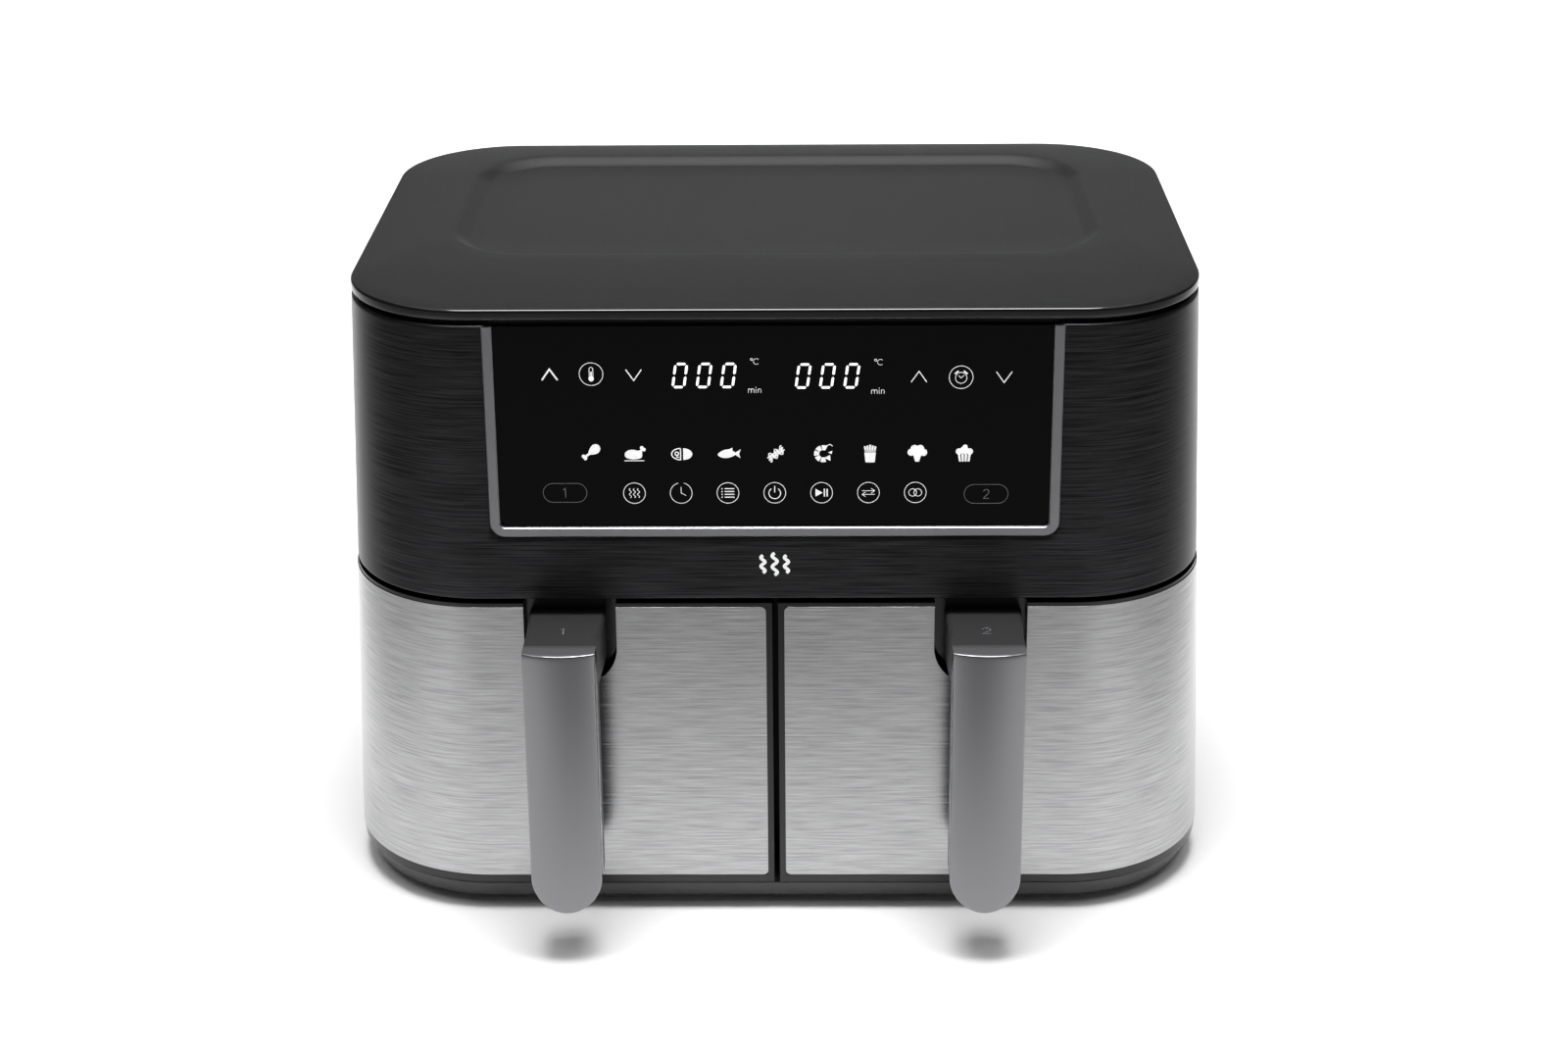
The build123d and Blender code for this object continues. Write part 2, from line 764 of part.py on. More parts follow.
def make_power_board():
    board_z = 231.0
    with BuildPart() as board:
        with BuildSketch(Plane((0, fan_y + 10, board_z))):
            RectangleRounded(70, 170, 2)
        extrude(amount=1.6)
        with BuildSketch(Plane((0, fan_y + 10, chamber_top + 0.1))):
            with GridLocations(60, 160, 2, 2):
                Circle(3)
        extrude(amount=board_z - chamber_top - 0.1)
        # transformer, relays, filter capacitor and terminal block
        with BuildSketch(Plane((0, fan_y + 10, board_z + 1.6))):
            with Locations((-15, 52)):
                RectangleRounded(32, 28, 2)
        extrude(amount=24)
        with BuildSketch(Plane((0, fan_y + 10, board_z + 1.6))):
            with Locations((-18, 4), (-18, -24)):
                RectangleRounded(15, 20, 1)
            with Locations((20, -62)):
                RectangleRounded(24, 30, 1)
        extrude(amount=16)
        with BuildSketch(Plane((0, fan_y + 10, board_z + 1.6))):
            with Locations((20, 55), (20, 35)):
                Circle(6)
        extrude(amount=20)
        with BuildSketch(Plane((0, fan_y + 10, board_z + 1.6))):
            with Locations((22, -5)):
                Rectangle(10, 48)
        extrude(amount=11)
    return board


def make_reed_sensors():
    with BuildPart() as sensors:
        for side in (-1, 1):
            block(
                (side * 30 - 9, frame_y - 4, fascia_low + 3),
                (side * 30 + 9, frame_y - 0.05, fascia_low + 9),
            )
    return sensors


# ---------------------------------------------------------------- drawers
drawer_gap = 1.4  # half of the gap between the two drawers
rim = 3.0
skin_thick, skin_proud = 0.8, 0.4
skin_low, skin_high = drawer_low + 4.0, drawer_high - 2.0
skin_inner = 4.2  # the skin's edge next to the middle gap
handle_x = 98.5
handle_width, handle_high, handle_low = 33.5, 157.0, 25.0
notch_x, notch_half, notch_low = 97.0, 21.75, 122.0
notch_depth = 8.0
handle_screw_places = [(-handle_x - 8, 147), (-handle_x + 8, 147)]


def notch_sketch(grow=0.0):
    """The U-shaped recess round the root of the left handle, open at the top."""
    high = drawer_high + 10
    with BuildSketch(mode=Mode.PRIVATE) as shape:
        with Locations((-notch_x, (notch_low - grow + high) / 2)):
            Rectangle(2 * (notch_half + grow), high - notch_low + grow)
        fillet(shape.vertices().group_by(Axis.Y)[0], radius=18)
    return shape.sketch


def front_corner(low, high, inset, inner_x, rear_y):
    """The front left part of the tapered body, up to an inner plane and a rear plane."""
    with BuildPart() as piece:
        body_slice(low, high, inset)
        in_front_of(rear_y)
        left_of(inner_x)
    return piece.part


def skin_layer(outer_inset, gap=0.0):
    """The layer that the steel skin fills on the left drawer, from its back face outwards."""
    with BuildPart() as layer:
        body_slice(skin_low + gap, skin_high - gap, outer_inset)
        body_slice(skin_low - 1, skin_high + 1, skin_thick - skin_proud - gap, Mode.SUBTRACT)
        in_front_of(split_y - 4 - gap)
        left_of(-skin_inner - gap)
    return layer.part


def make_drawer_front():
    shape = front_corner(drawer_low, drawer_high, 0, -drawer_gap, split_y - 0.3)
    hollow = front_corner(
        drawer_low + rim, drawer_high - rim, rim, -drawer_gap - rim, split_y - 0.3 - rim
    )
    # behind the back plate only the outer wall and a narrow rim round its edges go on
    with BuildPart() as rear_cut:
        body_slice(drawer_low - 5, drawer_high + 5, cap_inset)
        behind(back_plate_y)
    step = skin_layer(-5)
    pocket = notch_sketch(2.5)
    notch = notch_sketch()
    with BuildPart() as front:
        add(shape)
        add(hollow, mode=Mode.SUBTRACT)
        add(rear_cut.part, mode=Mode.SUBTRACT)
        # pocket that the handle's root stands in
        with BuildSketch(face_plane(-0.2)):
            add(pocket)
        extrude(amount=-notch_depth - 2.3)
        block((-far, -far, drawer_high), (far, far, far), Mode.SUBTRACT)
        with BuildSketch(face_plane(3)):
            add(notch)
        extrude(amount=-notch_depth - 3, mode=Mode.SUBTRACT)
        # step that the steel skin lies in
        add(step, mode=Mode.SUBTRACT)
        # screw holes to the handle
        with BuildSketch(face_plane(-notch_depth - 4)):
            with Locations(handle_screw_places):
                Circle(2.2)
        extrude(amount=6, mode=Mode.SUBTRACT)
    return front


def make_front_skin():
    layer = skin_layer(-skin_proud, 0.05)
    notch = notch_sketch(0.05)
    with BuildPart() as skin:
        add(layer)
        with BuildSketch(face_plane(5)):
            add(notch)
        extrude(amount=-20, mode=Mode.SUBTRACT)
    return skin


def basket_block(inset=0.0):
    """The tapered tub of the left basket, set in from its outer wall, open upwards if set in."""
    shrink = (basket_high - basket_low) * tan(radians(basket_draft))
    edge = 3.5 + inset + shrink
    rise = basket_high - basket_low - inset + (1 if inset else 0)
    with BuildPart() as tub:
        with BuildSketch(Plane((-chamber_x, basket_y, basket_low + inset))):
            RectangleRounded(basket_width - 2 * edge, basket_depth - 2 * edge, basket_corner - edge)
        extrude(amount=rise, taper=-basket_draft)
        fillet(tub.edges().group_by(Axis.Z)[0], radius=10 - inset)
    return tub.part


basket_screw_places = [(-chamber_x + x, 138) for x in (-30, 0, 30)]


def drawer_plane(y):
    """An upright plane across the body that looks forwards: x is across, y is up."""
    return Plane((0, y, 0), (1, 0, 0), (0, -1, 0))


def make_basket():
    tub = basket_block()
    inside = basket_block(basket_sheet)
    with BuildPart() as basket:
        add(tub)
        # rolled rim
        with BuildSketch(Plane((-chamber_x, basket_y, basket_high - 2.4))):
            RectangleRounded(basket_width, basket_depth, basket_corner)
        extrude(amount=2.4)
        fillet(basket.edges().group_by(Axis.Z)[-1], radius=0.8)
        add(inside, mode=Mode.SUBTRACT)
        with BuildSketch(drawer_plane(back_plate_y - 1)):
            with Locations(basket_screw_places):
                Circle(2.2)
        extrude(amount=-20, mode=Mode.SUBTRACT)
    return basket


def make_back_plate():
    gap = rim + 0.2
    sheet_form = front_corner(
        drawer_low + gap, drawer_high - gap, gap, -drawer_gap - gap, back_plate_y - 0.05
    )
    tub = basket_block()
    with BuildPart() as plate:
        add(sheet_form)
        behind(back_plate_y - 2.5)
        # pad that stands against the basket's front wall
        block((-chamber_x - 42, back_plate_y - 0.1, 126), (-chamber_x + 42, back_plate_y + 6, 147))
        add(tub, mode=Mode.SUBTRACT)
        with BuildSketch(drawer_plane(back_plate_y + 8)):
            with Locations(basket_screw_places):
                Circle(2.05)
        extrude(amount=16, mode=Mode.SUBTRACT)
    return plate


def make_basket_screws():
    inner = back_plate_y + 3.5 + basket_sheet + 0.55
    with BuildPart() as screws:
        with BuildSketch(drawer_plane(inner)):
            with Locations(basket_screw_places):
                Circle(4)
        extrude(amount=-2.2)
        fillet(screws.faces().sort_by(Axis.Y)[-3:].edges(), radius=0.9)
        with BuildSketch(drawer_plane(inner)):
            with Locations(basket_screw_places):
                Circle(2)
        extrude(amount=11)
    return screws


seal_gap, seal_width, seal_thick = 0.8, 3.0, 3.1


def make_drawer_seal():
    """A strip over the top and down both sides of the chamber's mouth, on the back plate."""
    across = (opening_outer + opening_inner) / 2
    width = opening_outer - opening_inner + 2 * seal_gap
    low, high = 24.0, opening_high + seal_gap
    with BuildPart() as seal:
        with BuildSketch(drawer_plane(back_plate_y)):
            with Locations((-across, (low + high + seal_width) / 2)):
                Rectangle(width + 2 * seal_width, high + seal_width - low)
            with Locations((-across, (low + high) / 2 - 1)):
                Rectangle(width, high - low + 2, mode=Mode.SUBTRACT)
        extrude(amount=-seal_thick)
        front_edges = seal.faces().sort_by(Axis.Y)[-1].edges()
        chamfer(front_edges, length=0.6)
    return seal


def make_drawer_magnet():
    with BuildPart() as magnet:
        block((-39, back_plate_y - 7.5, 150), (-21, back_plate_y - 2.6, 158))
    return magnet


cover_back, cover_crown, cover_wall = 36.0, 3.5, 1.6


def make_handle_grip():
    radius = handle_width / 2
    with BuildPart() as grip:
        # the bar, narrower in front where the chrome cover goes over it
        with BuildSketch(face_plane(24)):
            with Locations((-handle_x, (handle_high + handle_low) / 2)):
                RectangleRounded(handle_width, handle_high - handle_low, radius - 0.05)
            with Locations((-handle_x, handle_high - radius / 2)):
                Rectangle(handle_width, radius)
        extrude(amount=cover_back - 24)
        fillet(grip.faces().filter_by(lambda f: f.normal_at().dot(Vector(*face_normal)) < -0.99).edges(), radius=4)
        narrow = handle_width - 2 * cover_wall - 0.4
        with BuildSketch(face_plane(cover_back)):
            with Locations((-handle_x, (handle_high + handle_low) / 2)):
                RectangleRounded(narrow, handle_high - handle_low - 2 * cover_wall - 0.4, narrow / 2 - 0.05)
            with Locations((-handle_x, handle_high - cover_wall - 0.2 - narrow / 4)):
                Rectangle(narrow, narrow / 2)
        extrude(amount=7.5)
        # root that carries the bar, a little wider at the drawer
        with BuildSketch(face_plane(-notch_depth + 0.05)):
            with Locations((-handle_x, handle_high - 12)):
                RectangleRounded(handle_width + 3, 24, 2)
        with BuildSketch(face_plane(cover_back - 8)):
            with Locations((-handle_x, handle_high - 12)):
                RectangleRounded(handle_width, 24, 2)
        loft(ruled=True)
        # pilot holes for the screws
        with BuildSketch(face_plane(-notch_depth)):
            with Locations(handle_screw_places):
                Circle(1.55)
        extrude(amount=16, mode=Mode.SUBTRACT)
    return grip


def cover_form(shrink=0.0):
    """The outer form of the left handle cover: a long tongue with a round end and a crowned front."""
    half = handle_width / 2 - shrink
    crown_radius = (half**2 + cover_crown**2) / (2 * cover_crown)
    reach = handle_reach - shrink
    with BuildPart() as form:
        with BuildSketch(face_plane(cover_back)):
            with Locations((-handle_x, (handle_high + handle_low) / 2)):
                RectangleRounded(2 * half, handle_high - handle_low - 2 * shrink, half - 0.05)
            with Locations((-handle_x, handle_high - shrink - half / 2)):
                Rectangle(2 * half, half)
        extrude(amount=reach - cover_back)
    axis_plane = face_plane(reach - crown_radius)
    with BuildPart() as barrel:
        with BuildSketch(Plane(axis_plane.origin, (1, 0, 0), axis_plane.y_dir)):
            with Locations((-handle_x, 0)):
                Circle(crown_radius)
        extrude(amount=300)
    return form.part & barrel.part


def make_handle_cover():
    outside = cover_form()
    inside = cover_form(cover_wall)
    with BuildPart() as cover:
        add(outside)
        add(inside, mode=Mode.SUBTRACT)
        # the hollow is open at the back
        with BuildSketch(face_plane(cover_back - 1)):
            half = handle_width / 2 - cover_wall
            with Locations((-handle_x, (handle_high + handle_low) / 2)):
                RectangleRounded(2 * half, handle_high - handle_low - 2 * cover_wall, half - 0.05)
            with Locations((-handle_x, handle_high - cover_wall - half / 2)):
                Rectangle(2 * half, half)
        extrude(amount=2, mode=Mode.SUBTRACT)
    return cover


def make_handle_screws():
    with BuildPart() as screws:
        with BuildSketch(face_plane(-notch_depth - 2.5)):
            with Locations(handle_screw_places):
                Circle(3.6)
        extrude(amount=-2)
        with BuildSketch(face_plane(-notch_depth - 2.5)):
            with Locations(handle_screw_places):
                Circle(1.5)
        extrude(amount=16)
    return screws


# ---------------------------------------------------------------- crisper plates
plate_width, plate_depth, plate_corner = 144.0, 206.0, 26.0
plate_z, plate_thick, plate_rim = 30.0, 1.8, 7.0
hole_pitch, hole_radius = 13.0, 3.2


def make_crisper_plate():
    with BuildPart() as plate:
        with BuildSketch(Plane((-chamber_x, basket_y, plate_z - plate_rim))):
            RectangleRounded(plate_width, plate_depth, plate_corner)
        extrude(amount=plate_rim + plate_thick)
        fillet(plate.edges().group_by(Axis.Z)[-1], radius=1.5)
        with BuildSketch(Plane((-chamber_x, basket_y, plate_z - plate_rim))):
            RectangleRounded(plate_width - 3.2, plate_depth - 3.2, plate_corner - 1.6)
        extrude(amount=plate_rim, mode=Mode.SUBTRACT)
        with BuildSketch(Plane((-chamber_x, basket_y, plate_z))):
            with GridLocations(hole_pitch, hole_pitch, 9, 15):
                Circle(hole_radius)
            # finger hole
            Circle(11)
        extrude(amount=plate_thick, mode=Mode.SUBTRACT)
    return plate


bumper_places = [(x, y) for x in (-1, 1) for y in (-60, 60)]


def make_plate_bumpers():
    plate = make_crisper_plate()
    cavity = basket_block(basket_sheet + 0.35)
    with BuildPart() as bumpers:
        for side, y in bumper_places:
            x, low = -chamber_x + side * (plate_width / 2 + 1.5), basket_low + basket_sheet
            block((x - 2.7, basket_y + y - 7, low), (x + 2.7, basket_y + y + 7, 33.5))
        fillet(bumpers.edges().filter_by(Axis.Z), radius=0.8)
        add(plate.part, mode=Mode.SUBTRACT)
        add(cavity, mode=Mode.INTERSECT)
    return bumpers


# ---------------------------------------------------------------- write every piece
keep("base_pan", make_base_pan())
keep("rubber_feet", make_rubber_feet())
keep("housing_screws", make_housing_screws())
whole_shell = make_rear_shell()
keep("rear_panel", make_rear_panel(whole_shell))
keep("rear_grilles", make_rear_grilles())
keep("cord_gland", make_cord_gland())
keep("front_fascia", make_front_fascia())
keep("panel_trim", make_panel_trim())
keep("control_glass", make_control_glass())
keep("control_board", make_control_board())
keep("display_modules", make_display_modules())
keep("touch_springs", make_touch_springs())
keep("top_cover", make_top_cover())
keep("front_frame", make_front_frame())
keep("exhaust_ducts", make_exhaust_ducts())
keep("power_board", make_power_board())
keep("temperature_sensors", make_temperature_sensors())
keep("reed_sensors", make_reed_sensors())
keep_pair("side_shell", make_side_shell(whole_shell))
keep_pair("chamber_liner", make_chamber_liner())
keep_pair("heating_element", make_heating_element())
keep_pair("heater_guard", make_heater_guard())
keep_pair("motor_stator", make_motor_stator())
keep_pair("motor_bracket", make_motor_bracket())
keep_pair("motor_bushes", make_motor_bushes())
keep_same_pair("motor_shaft", make_motor_shaft())
keep_same_pair("convection_fan", make_convection_fan())
keep_same_pair("cooling_fan", make_cooling_fan())
keep_pair("drawer_front", make_drawer_front())
keep_pair("front_skin", make_front_skin())
keep_pair("back_plate", make_back_plate())
keep_pair("basket", make_basket())
keep_pair("basket_screws", make_basket_screws())
keep_pair("drawer_seal", make_drawer_seal())
keep_pair("drawer_magnet", make_drawer_magnet())
keep_pair("handle_grip", make_handle_grip())
keep_pair("handle_cover", make_handle_cover())
keep_pair("handle_screws", make_handle_screws())
keep_pair("crisper_plate", make_crisper_plate())
keep_pair("plate_bumpers", make_plate_bumpers())
print(len(written), "pieces")
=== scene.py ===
# %% [markdown]
# # A two-drawer air fryer
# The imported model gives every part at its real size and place. This file gives the parts their
# looks: smooth outer skins, brushed and plated metal, moulded plastic and the printed control
# panel. Lengths are metres. The front faces -Y, +Z is up, and the origin is on the worktop.

# %% Load the frame
import math

import bpy
import numpy as np
from mathutils import Matrix, Vector


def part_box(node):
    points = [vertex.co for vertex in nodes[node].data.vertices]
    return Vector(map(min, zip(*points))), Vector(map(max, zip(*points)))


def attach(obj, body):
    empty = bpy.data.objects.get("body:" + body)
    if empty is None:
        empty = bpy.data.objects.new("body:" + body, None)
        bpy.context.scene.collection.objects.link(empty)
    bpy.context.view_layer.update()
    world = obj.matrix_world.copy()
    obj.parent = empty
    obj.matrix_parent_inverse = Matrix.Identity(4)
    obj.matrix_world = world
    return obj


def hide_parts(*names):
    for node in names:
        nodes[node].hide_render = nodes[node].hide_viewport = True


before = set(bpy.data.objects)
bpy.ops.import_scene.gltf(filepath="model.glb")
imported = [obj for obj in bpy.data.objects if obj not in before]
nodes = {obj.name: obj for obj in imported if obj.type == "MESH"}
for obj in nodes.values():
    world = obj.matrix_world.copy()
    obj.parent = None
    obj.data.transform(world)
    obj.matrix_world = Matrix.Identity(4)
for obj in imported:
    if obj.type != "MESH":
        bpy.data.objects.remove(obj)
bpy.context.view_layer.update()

# %% [markdown]
# ## Measures
# The housing is one rounded rectangle that widens downwards, so a few numbers describe all of it:
# the straight stretches of its plan never change, and only the corner radius grows with depth
# below the lid. They are read from the parts' boxes, so the looks follow the model.

# %% Measures of the housing
mm = 0.001
draft = math.radians(2.6)
slope = math.tan(draft)
lid_low, lid_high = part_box("top_cover")
lid_radius = 60 * mm
fascia_low, fascia_high = (corner.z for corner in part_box("front_fascia"))
body_y = (lid_low.y + lid_high.y) / 2
flat_x = lid_high.x - lid_radius
flat_y = (lid_high.y - lid_low.y) / 2 - lid_radius
seam_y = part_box("front_fascia")[1].y
print("corner centres at x", round(flat_x, 4), "y", round(body_y - flat_y, 4))
print("seam at y", round(seam_y, 4))


# %% [markdown]
# ## Making surfaces
# Every new piece is a grid of points, computed as whole arrays, and one function turns such a
# grid into a mesh. The grid's rows can close on themselves, as round a tube, and its ends can be
# capped.

# %% A grid of points becomes a mesh
def grid_faces(rows, columns, wrap_rows=False, wrap_columns=False):
    """Corner numbers of the quads between neighbouring rows and columns of a grid.
    A wrapped direction joins its end to its start."""
    r = np.arange(rows if wrap_rows else rows - 1)[:, None]
    c = np.arange(columns if wrap_columns else columns - 1)[None, :]
    r2, c2 = (r + 1) % rows, (c + 1) % columns
    quads = [r * columns + c, r * columns + c2, r2 * columns + c2, r2 * columns + c]
    return np.stack([np.broadcast_to(q, (r.size, c.size)) for q in quads], axis=-1)


def make_mesh(name, points, faces, uv=None, sharp=35):
    """A smooth-shaded object from points (n, 3) and faces.
    Edges bent by more than sharp degrees stay crisp."""
    mesh = bpy.data.meshes.new(name)
    mesh.from_pydata(points.reshape(-1, 3).tolist(), [], [list(f) for f in faces])
    if uv is not None:
        corners = np.zeros(len(mesh.loops), np.int32)
        mesh.loops.foreach_get("vertex_index", corners)
        layer = mesh.uv_layers.new(name="UVMap")
        layer.data.foreach_set("uv", uv.reshape(-1, 2)[corners].astype(np.float32).ravel())
    mesh.polygons.foreach_set("use_smooth", np.ones(len(mesh.polygons), bool))
    mesh.set_sharp_from_angle(angle=math.radians(sharp))
    piece = bpy.data.objects.new(name, mesh)
    bpy.context.scene.collection.objects.link(piece)
    return piece


def join_parts(parts):
    """Points and faces of several (points, faces) parts.
    Face numbers move on past the points of the parts before."""
    points, faces, count = [], [], 0
    for part_points, part_faces in parts:
        points.append(part_points)
        faces += [[i + count for i in face] for face in part_faces]
        count += len(part_points)
    return np.concatenate(points), faces


def closed_stack(rings):
    """A solid from a stack of rings (k, n, 3): quads between rings, and a cap on each end."""
    k, n = rings.shape[:2]
    sides = grid_faces(k, n, wrap_columns=True).reshape(-1, 4).tolist()
    return rings.reshape(-1, 3), sides + [list(range(n))[::-1], list(range((k - 1) * n, k * n))]


def finish_piece(piece, body, material, slot, *replaced):
    """Gives a piece its material, its body and the parts that it stands for, which it hides. The
    slot is not used.
    """
    piece.data.materials.append(material)
    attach(piece, body)
    if replaced:
        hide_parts(*replaced)
    print(f"{piece.name}: {len(piece.data.vertices)} points")
    return piece


# %% [markdown]
# ## Node materials
# Colours are written as sRGB hex, as a paint card gives them, and turned to the linear values
# that shaders use. One small function adds a node, sets it and links it, so each finish reads as
# a short recipe.

# %% Helpers for materials
def linear(hex_colour):
    """Linear RGBA of an sRGB hex colour: each channel through the sRGB curve."""
    channels = [int(hex_colour[i : i + 2], 16) / 255 for i in (1, 3, 5)]
    return [c / 12.92 if c <= 0.04045 else ((c + 0.055) / 1.055) ** 2.4 for c in channels] + [1.0]


def add(tree, kind, inputs=None, **settings):
    """Adds one node: settings are its own options, inputs are values or sockets that feed it."""
    node = tree.nodes.new(kind)
    for key, value in settings.items():
        setattr(node, key, value)
    for key, value in (inputs or {}).items():
        if isinstance(value, bpy.types.NodeSocket):
            tree.links.new(value, node.inputs[key])
        else:
            node.inputs[key].default_value = value
    return node


def new_material(name, colour, **sockets):
    """A material with one Principled shader, its base colour and any of its other sockets set."""
    material = bpy.data.materials.new(name)
    material.use_nodes = True
    tree = material.node_tree
    shader = tree.nodes["Principled BSDF"]
    shader.inputs["Base Color"].default_value = linear(colour)
    material.diffuse_color = linear(colour)
    for key, value in sockets.items():
        shader.inputs[key.replace("_", " ")].default_value = value
    return material, tree, shader


def grain(tree, shader, size, depth, coordinates="Object", stretch=(1, 1, 1), detail=2.0):
    """Adds a bump of soft noise, its grains size across and depth high.
    A stretch below 1 draws the grains out along that axis."""
    source = add(tree, "ShaderNodeTexCoord")
    place = add(
        tree, "ShaderNodeMapping", {"Vector": source.outputs[coordinates], "Scale": stretch}
    )
    noise = add(
        tree,
        "ShaderNodeTexNoise",
        {"Vector": place.outputs["Vector"], "Scale": 1 / size, "Detail": detail, "Roughness": 0.6},
    )
    bump = add(
        tree, "ShaderNodeBump", {"Height": noise.outputs["Fac"], "Distance": depth, "Strength": 1.0}
    )
    tree.links.new(bump.outputs["Normal"], shader.inputs["Normal"])
    return noise


def vary(tree, shader, socket, noise, low, high):
    """Lets a noise pattern move one of the shader's values between low and high."""
    limits = {"From Min": 0.3, "From Max": 0.7, "To Min": low, "To Max": high}
    span = add(tree, "ShaderNodeMapRange", {"Value": noise.outputs["Fac"], **limits})
    tree.links.new(span.outputs["Result"], shader.inputs[socket])


def tint(tree, shader, noise, dark, light, low=0.3, high=0.7):
    """Lets a noise pattern move the base colour between two hex colours."""
    ramp = add(tree, "ShaderNodeValToRGB", {"Fac": noise.outputs["Fac"]})
    for element, place, colour in zip(ramp.color_ramp.elements, (low, high), (dark, light)):
        element.position = place
        element.color = linear(colour)
    tree.links.new(ramp.outputs["Color"], shader.inputs["Base Color"])


# %% [markdown]
# ## Plastics
# The lid, housing, base and handles are moulded ABS or polypropylene. Spark-eroded moulds leave a
# fine grain, drawn here a little coarser than the real 0.3 mm so that it shows; polished moulds
# leave a clear black gloss on the rims.

# %% Moulded plastics
def moulded(name, dark, light, grain_size, rough_low, rough_high, depth=0.00003, level=0.5):
    """Grained plastic: noise at the grain's size makes the bump, and the same noise moves
    the colour and the gloss a little."""
    material, tree, shader = new_material(
        name, dark, Roughness=rough_low, IOR=1.5, Specular_IOR_Level=level
    )
    noise = grain(tree, shader, grain_size, depth)
    tint(tree, shader, noise, dark, light)
    vary(tree, shader, "Roughness", noise, rough_low, rough_high)
    return material


lid_abs = moulded("matte_grained_abs", "#0d0d0e", "#111112", 0.9 * mm, 0.36, 0.42, level=0.35)
housing_abs = moulded("housing_grained_abs", "#1a1a1b", "#1f1f20", 0.9 * mm, 0.42, 0.5)
base_abs = moulded("base_band_abs", "#303031", "#363637", 0.9 * mm, 0.38, 0.45)
grip_abs = moulded("satin_handle_abs", "#2b2b2c", "#303031", 0.8 * mm, 0.34, 0.42)
inner_plastic = moulded("plain_glass_filled_nylon", "#1c1c1d", "#232323", 1.2 * mm, 0.5, 0.6)
rim_gloss, rim_tree, rim_shader = new_material(
    "polished_black_abs", "#050505", Roughness=0.12, IOR=1.52
)
grain(rim_tree, rim_shader, 9 * mm, 0.00002)
print("plastics:", lid_abs.name, housing_abs.name, base_abs.name, grip_abs.name, rim_gloss.name)

# %% [markdown]
# ## Brushed steel
# The drawer skins are stainless steel brushed sideways, and the fascia is the same brushing under
# a black tint. An abrasive belt leaves fine parallel scratches, so gloss spreads across them and
# not along them. The scratch pattern is a noise drawn out along the sheet: it reads the sheet's
# own UV map, which runs round the corners.

# %% Brushed metals
def brushed(name, dark, light, rough, line_width, line_length, depth, anisotropy):
    """Brushed sheet: noise in streaks, line_length long and line_width wide, moves the colour,
    the roughness and the bump."""
    material, tree, shader = new_material(
        name,
        light,
        Metallic=1.0,
        Roughness=rough,
        Anisotropic=anisotropy,
        Anisotropic_Rotation=0.25,
    )
    drawn_out = (line_width / line_length, 1, 1)
    streaks = grain(tree, shader, line_width, depth, "UV", drawn_out, detail=4.0)
    tint(tree, shader, streaks, dark, light)
    vary(tree, shader, "Roughness", streaks, rough * 0.85, rough * 1.15)
    along = add(tree, "ShaderNodeTangent", direction_type="UV_MAP", uv_map="UVMap")
    tree.links.new(along.outputs["Tangent"], shader.inputs["Tangent"])
    return material


# real scratches are about 0.1 mm wide, too fine to show, so they are drawn 0.7 to 0.9 mm wide
skin_steel = brushed(
    "brushed_stainless_steel", "#969697", "#c2c2c3", 0.24, 0.9 * mm, 24 * mm, 0.00001, 0.55
)
fascia_steel = brushed(
    "black_brushed_steel", "#1b1b1c", "#464648", 0.34, 0.7 * mm, 40 * mm, 0.00002, 0.5
)
print("brushed metals:", skin_steel.name, fascia_steel.name)

# %% [markdown]
# ## Plated, anodised and coated metals
# Chrome plating on plastic is almost a mirror. The panel's trim is satin anodised aluminium.
# Baskets and plates carry a dark non-stick coating with a slight orange peel, and the cooking
# chambers are bright aluminised sheet.

# %% Other metals
def metal(name, colour, rough_low, rough_high, size, depth=0.00001):
    """Plain metal: soft noise of the given size moves its roughness and bump a little."""
    material, tree, shader = new_material(name, colour, Metallic=1.0, Roughness=rough_low)
    noise = grain(tree, shader, size, depth)
    vary(tree, shader, "Roughness", noise, rough_low, rough_high)
    return material


chrome = metal("dark_chrome_plated_abs", "#848486", 0.10, 0.14, 14 * mm)
satin_trim = metal("satin_anodised_aluminium", "#9c9c9f", 0.36, 0.42, 1.0 * mm)
cap_satin = metal("satin_plated_cap", "#7e7e80", 0.5, 0.56, 1.0 * mm)
wire_steel = metal("bright_steel_wire", "#c4c4c4", 0.2, 0.3, 3 * mm)
screw_zinc = metal("zinc_plated_steel", "#b7b9bb", 0.25, 0.4, 2 * mm)
bright_sheet = metal("aluminised_steel_sheet", "#b3b3b1", 0.22, 0.42, 12 * mm, 0.00004)
heater_sheath = metal("oxidised_heater_sheath", "#5c5955", 0.38, 0.5, 4 * mm)
motor_iron = metal("laminated_electrical_steel", "#6d6e72", 0.35, 0.5, 0.6 * mm)
bush_bronze = metal("sintered_bronze", "#a5794a", 0.35, 0.5, 0.7 * mm)
ground_steel = metal("ground_shaft_steel", "#c9c9c9", 0.15, 0.22, 1.0 * mm)
fan_aluminium = metal("pressed_fan_aluminium", "#c2c3c4", 0.25, 0.35, 5 * mm)
ferrite = metal("ferrite_magnet", "#2d2d2f", 0.5, 0.6, 1.5 * mm)
nonstick = moulded("non_stick_coating", "#1a1a1b", "#252526", 0.8 * mm, 0.30, 0.4, 0.00004)
silicone = moulded("black_silicone_rubber", "#111112", "#161617", 1.5 * mm, 0.55, 0.65)
solder_mask = moulded("green_solder_mask", "#0b3d20", "#0f4a28", 6 * mm, 0.35, 0.45)
sensor_plastic = moulded("ivory_sensor_plastic", "#c9c5b5", "#d2cebf", 2 * mm, 0.4, 0.5)
smoked_plastic, _, _ = new_material("smoked_display_plastic", "#080808", Roughness=0.15)
panel_glass, _, _ = new_material(
    "black_back_printed_glass", "#010101", Roughness=0.03, IOR=1.52, Specular_IOR_Level=0.15
)
print(len(bpy.data.materials), "materials so far")

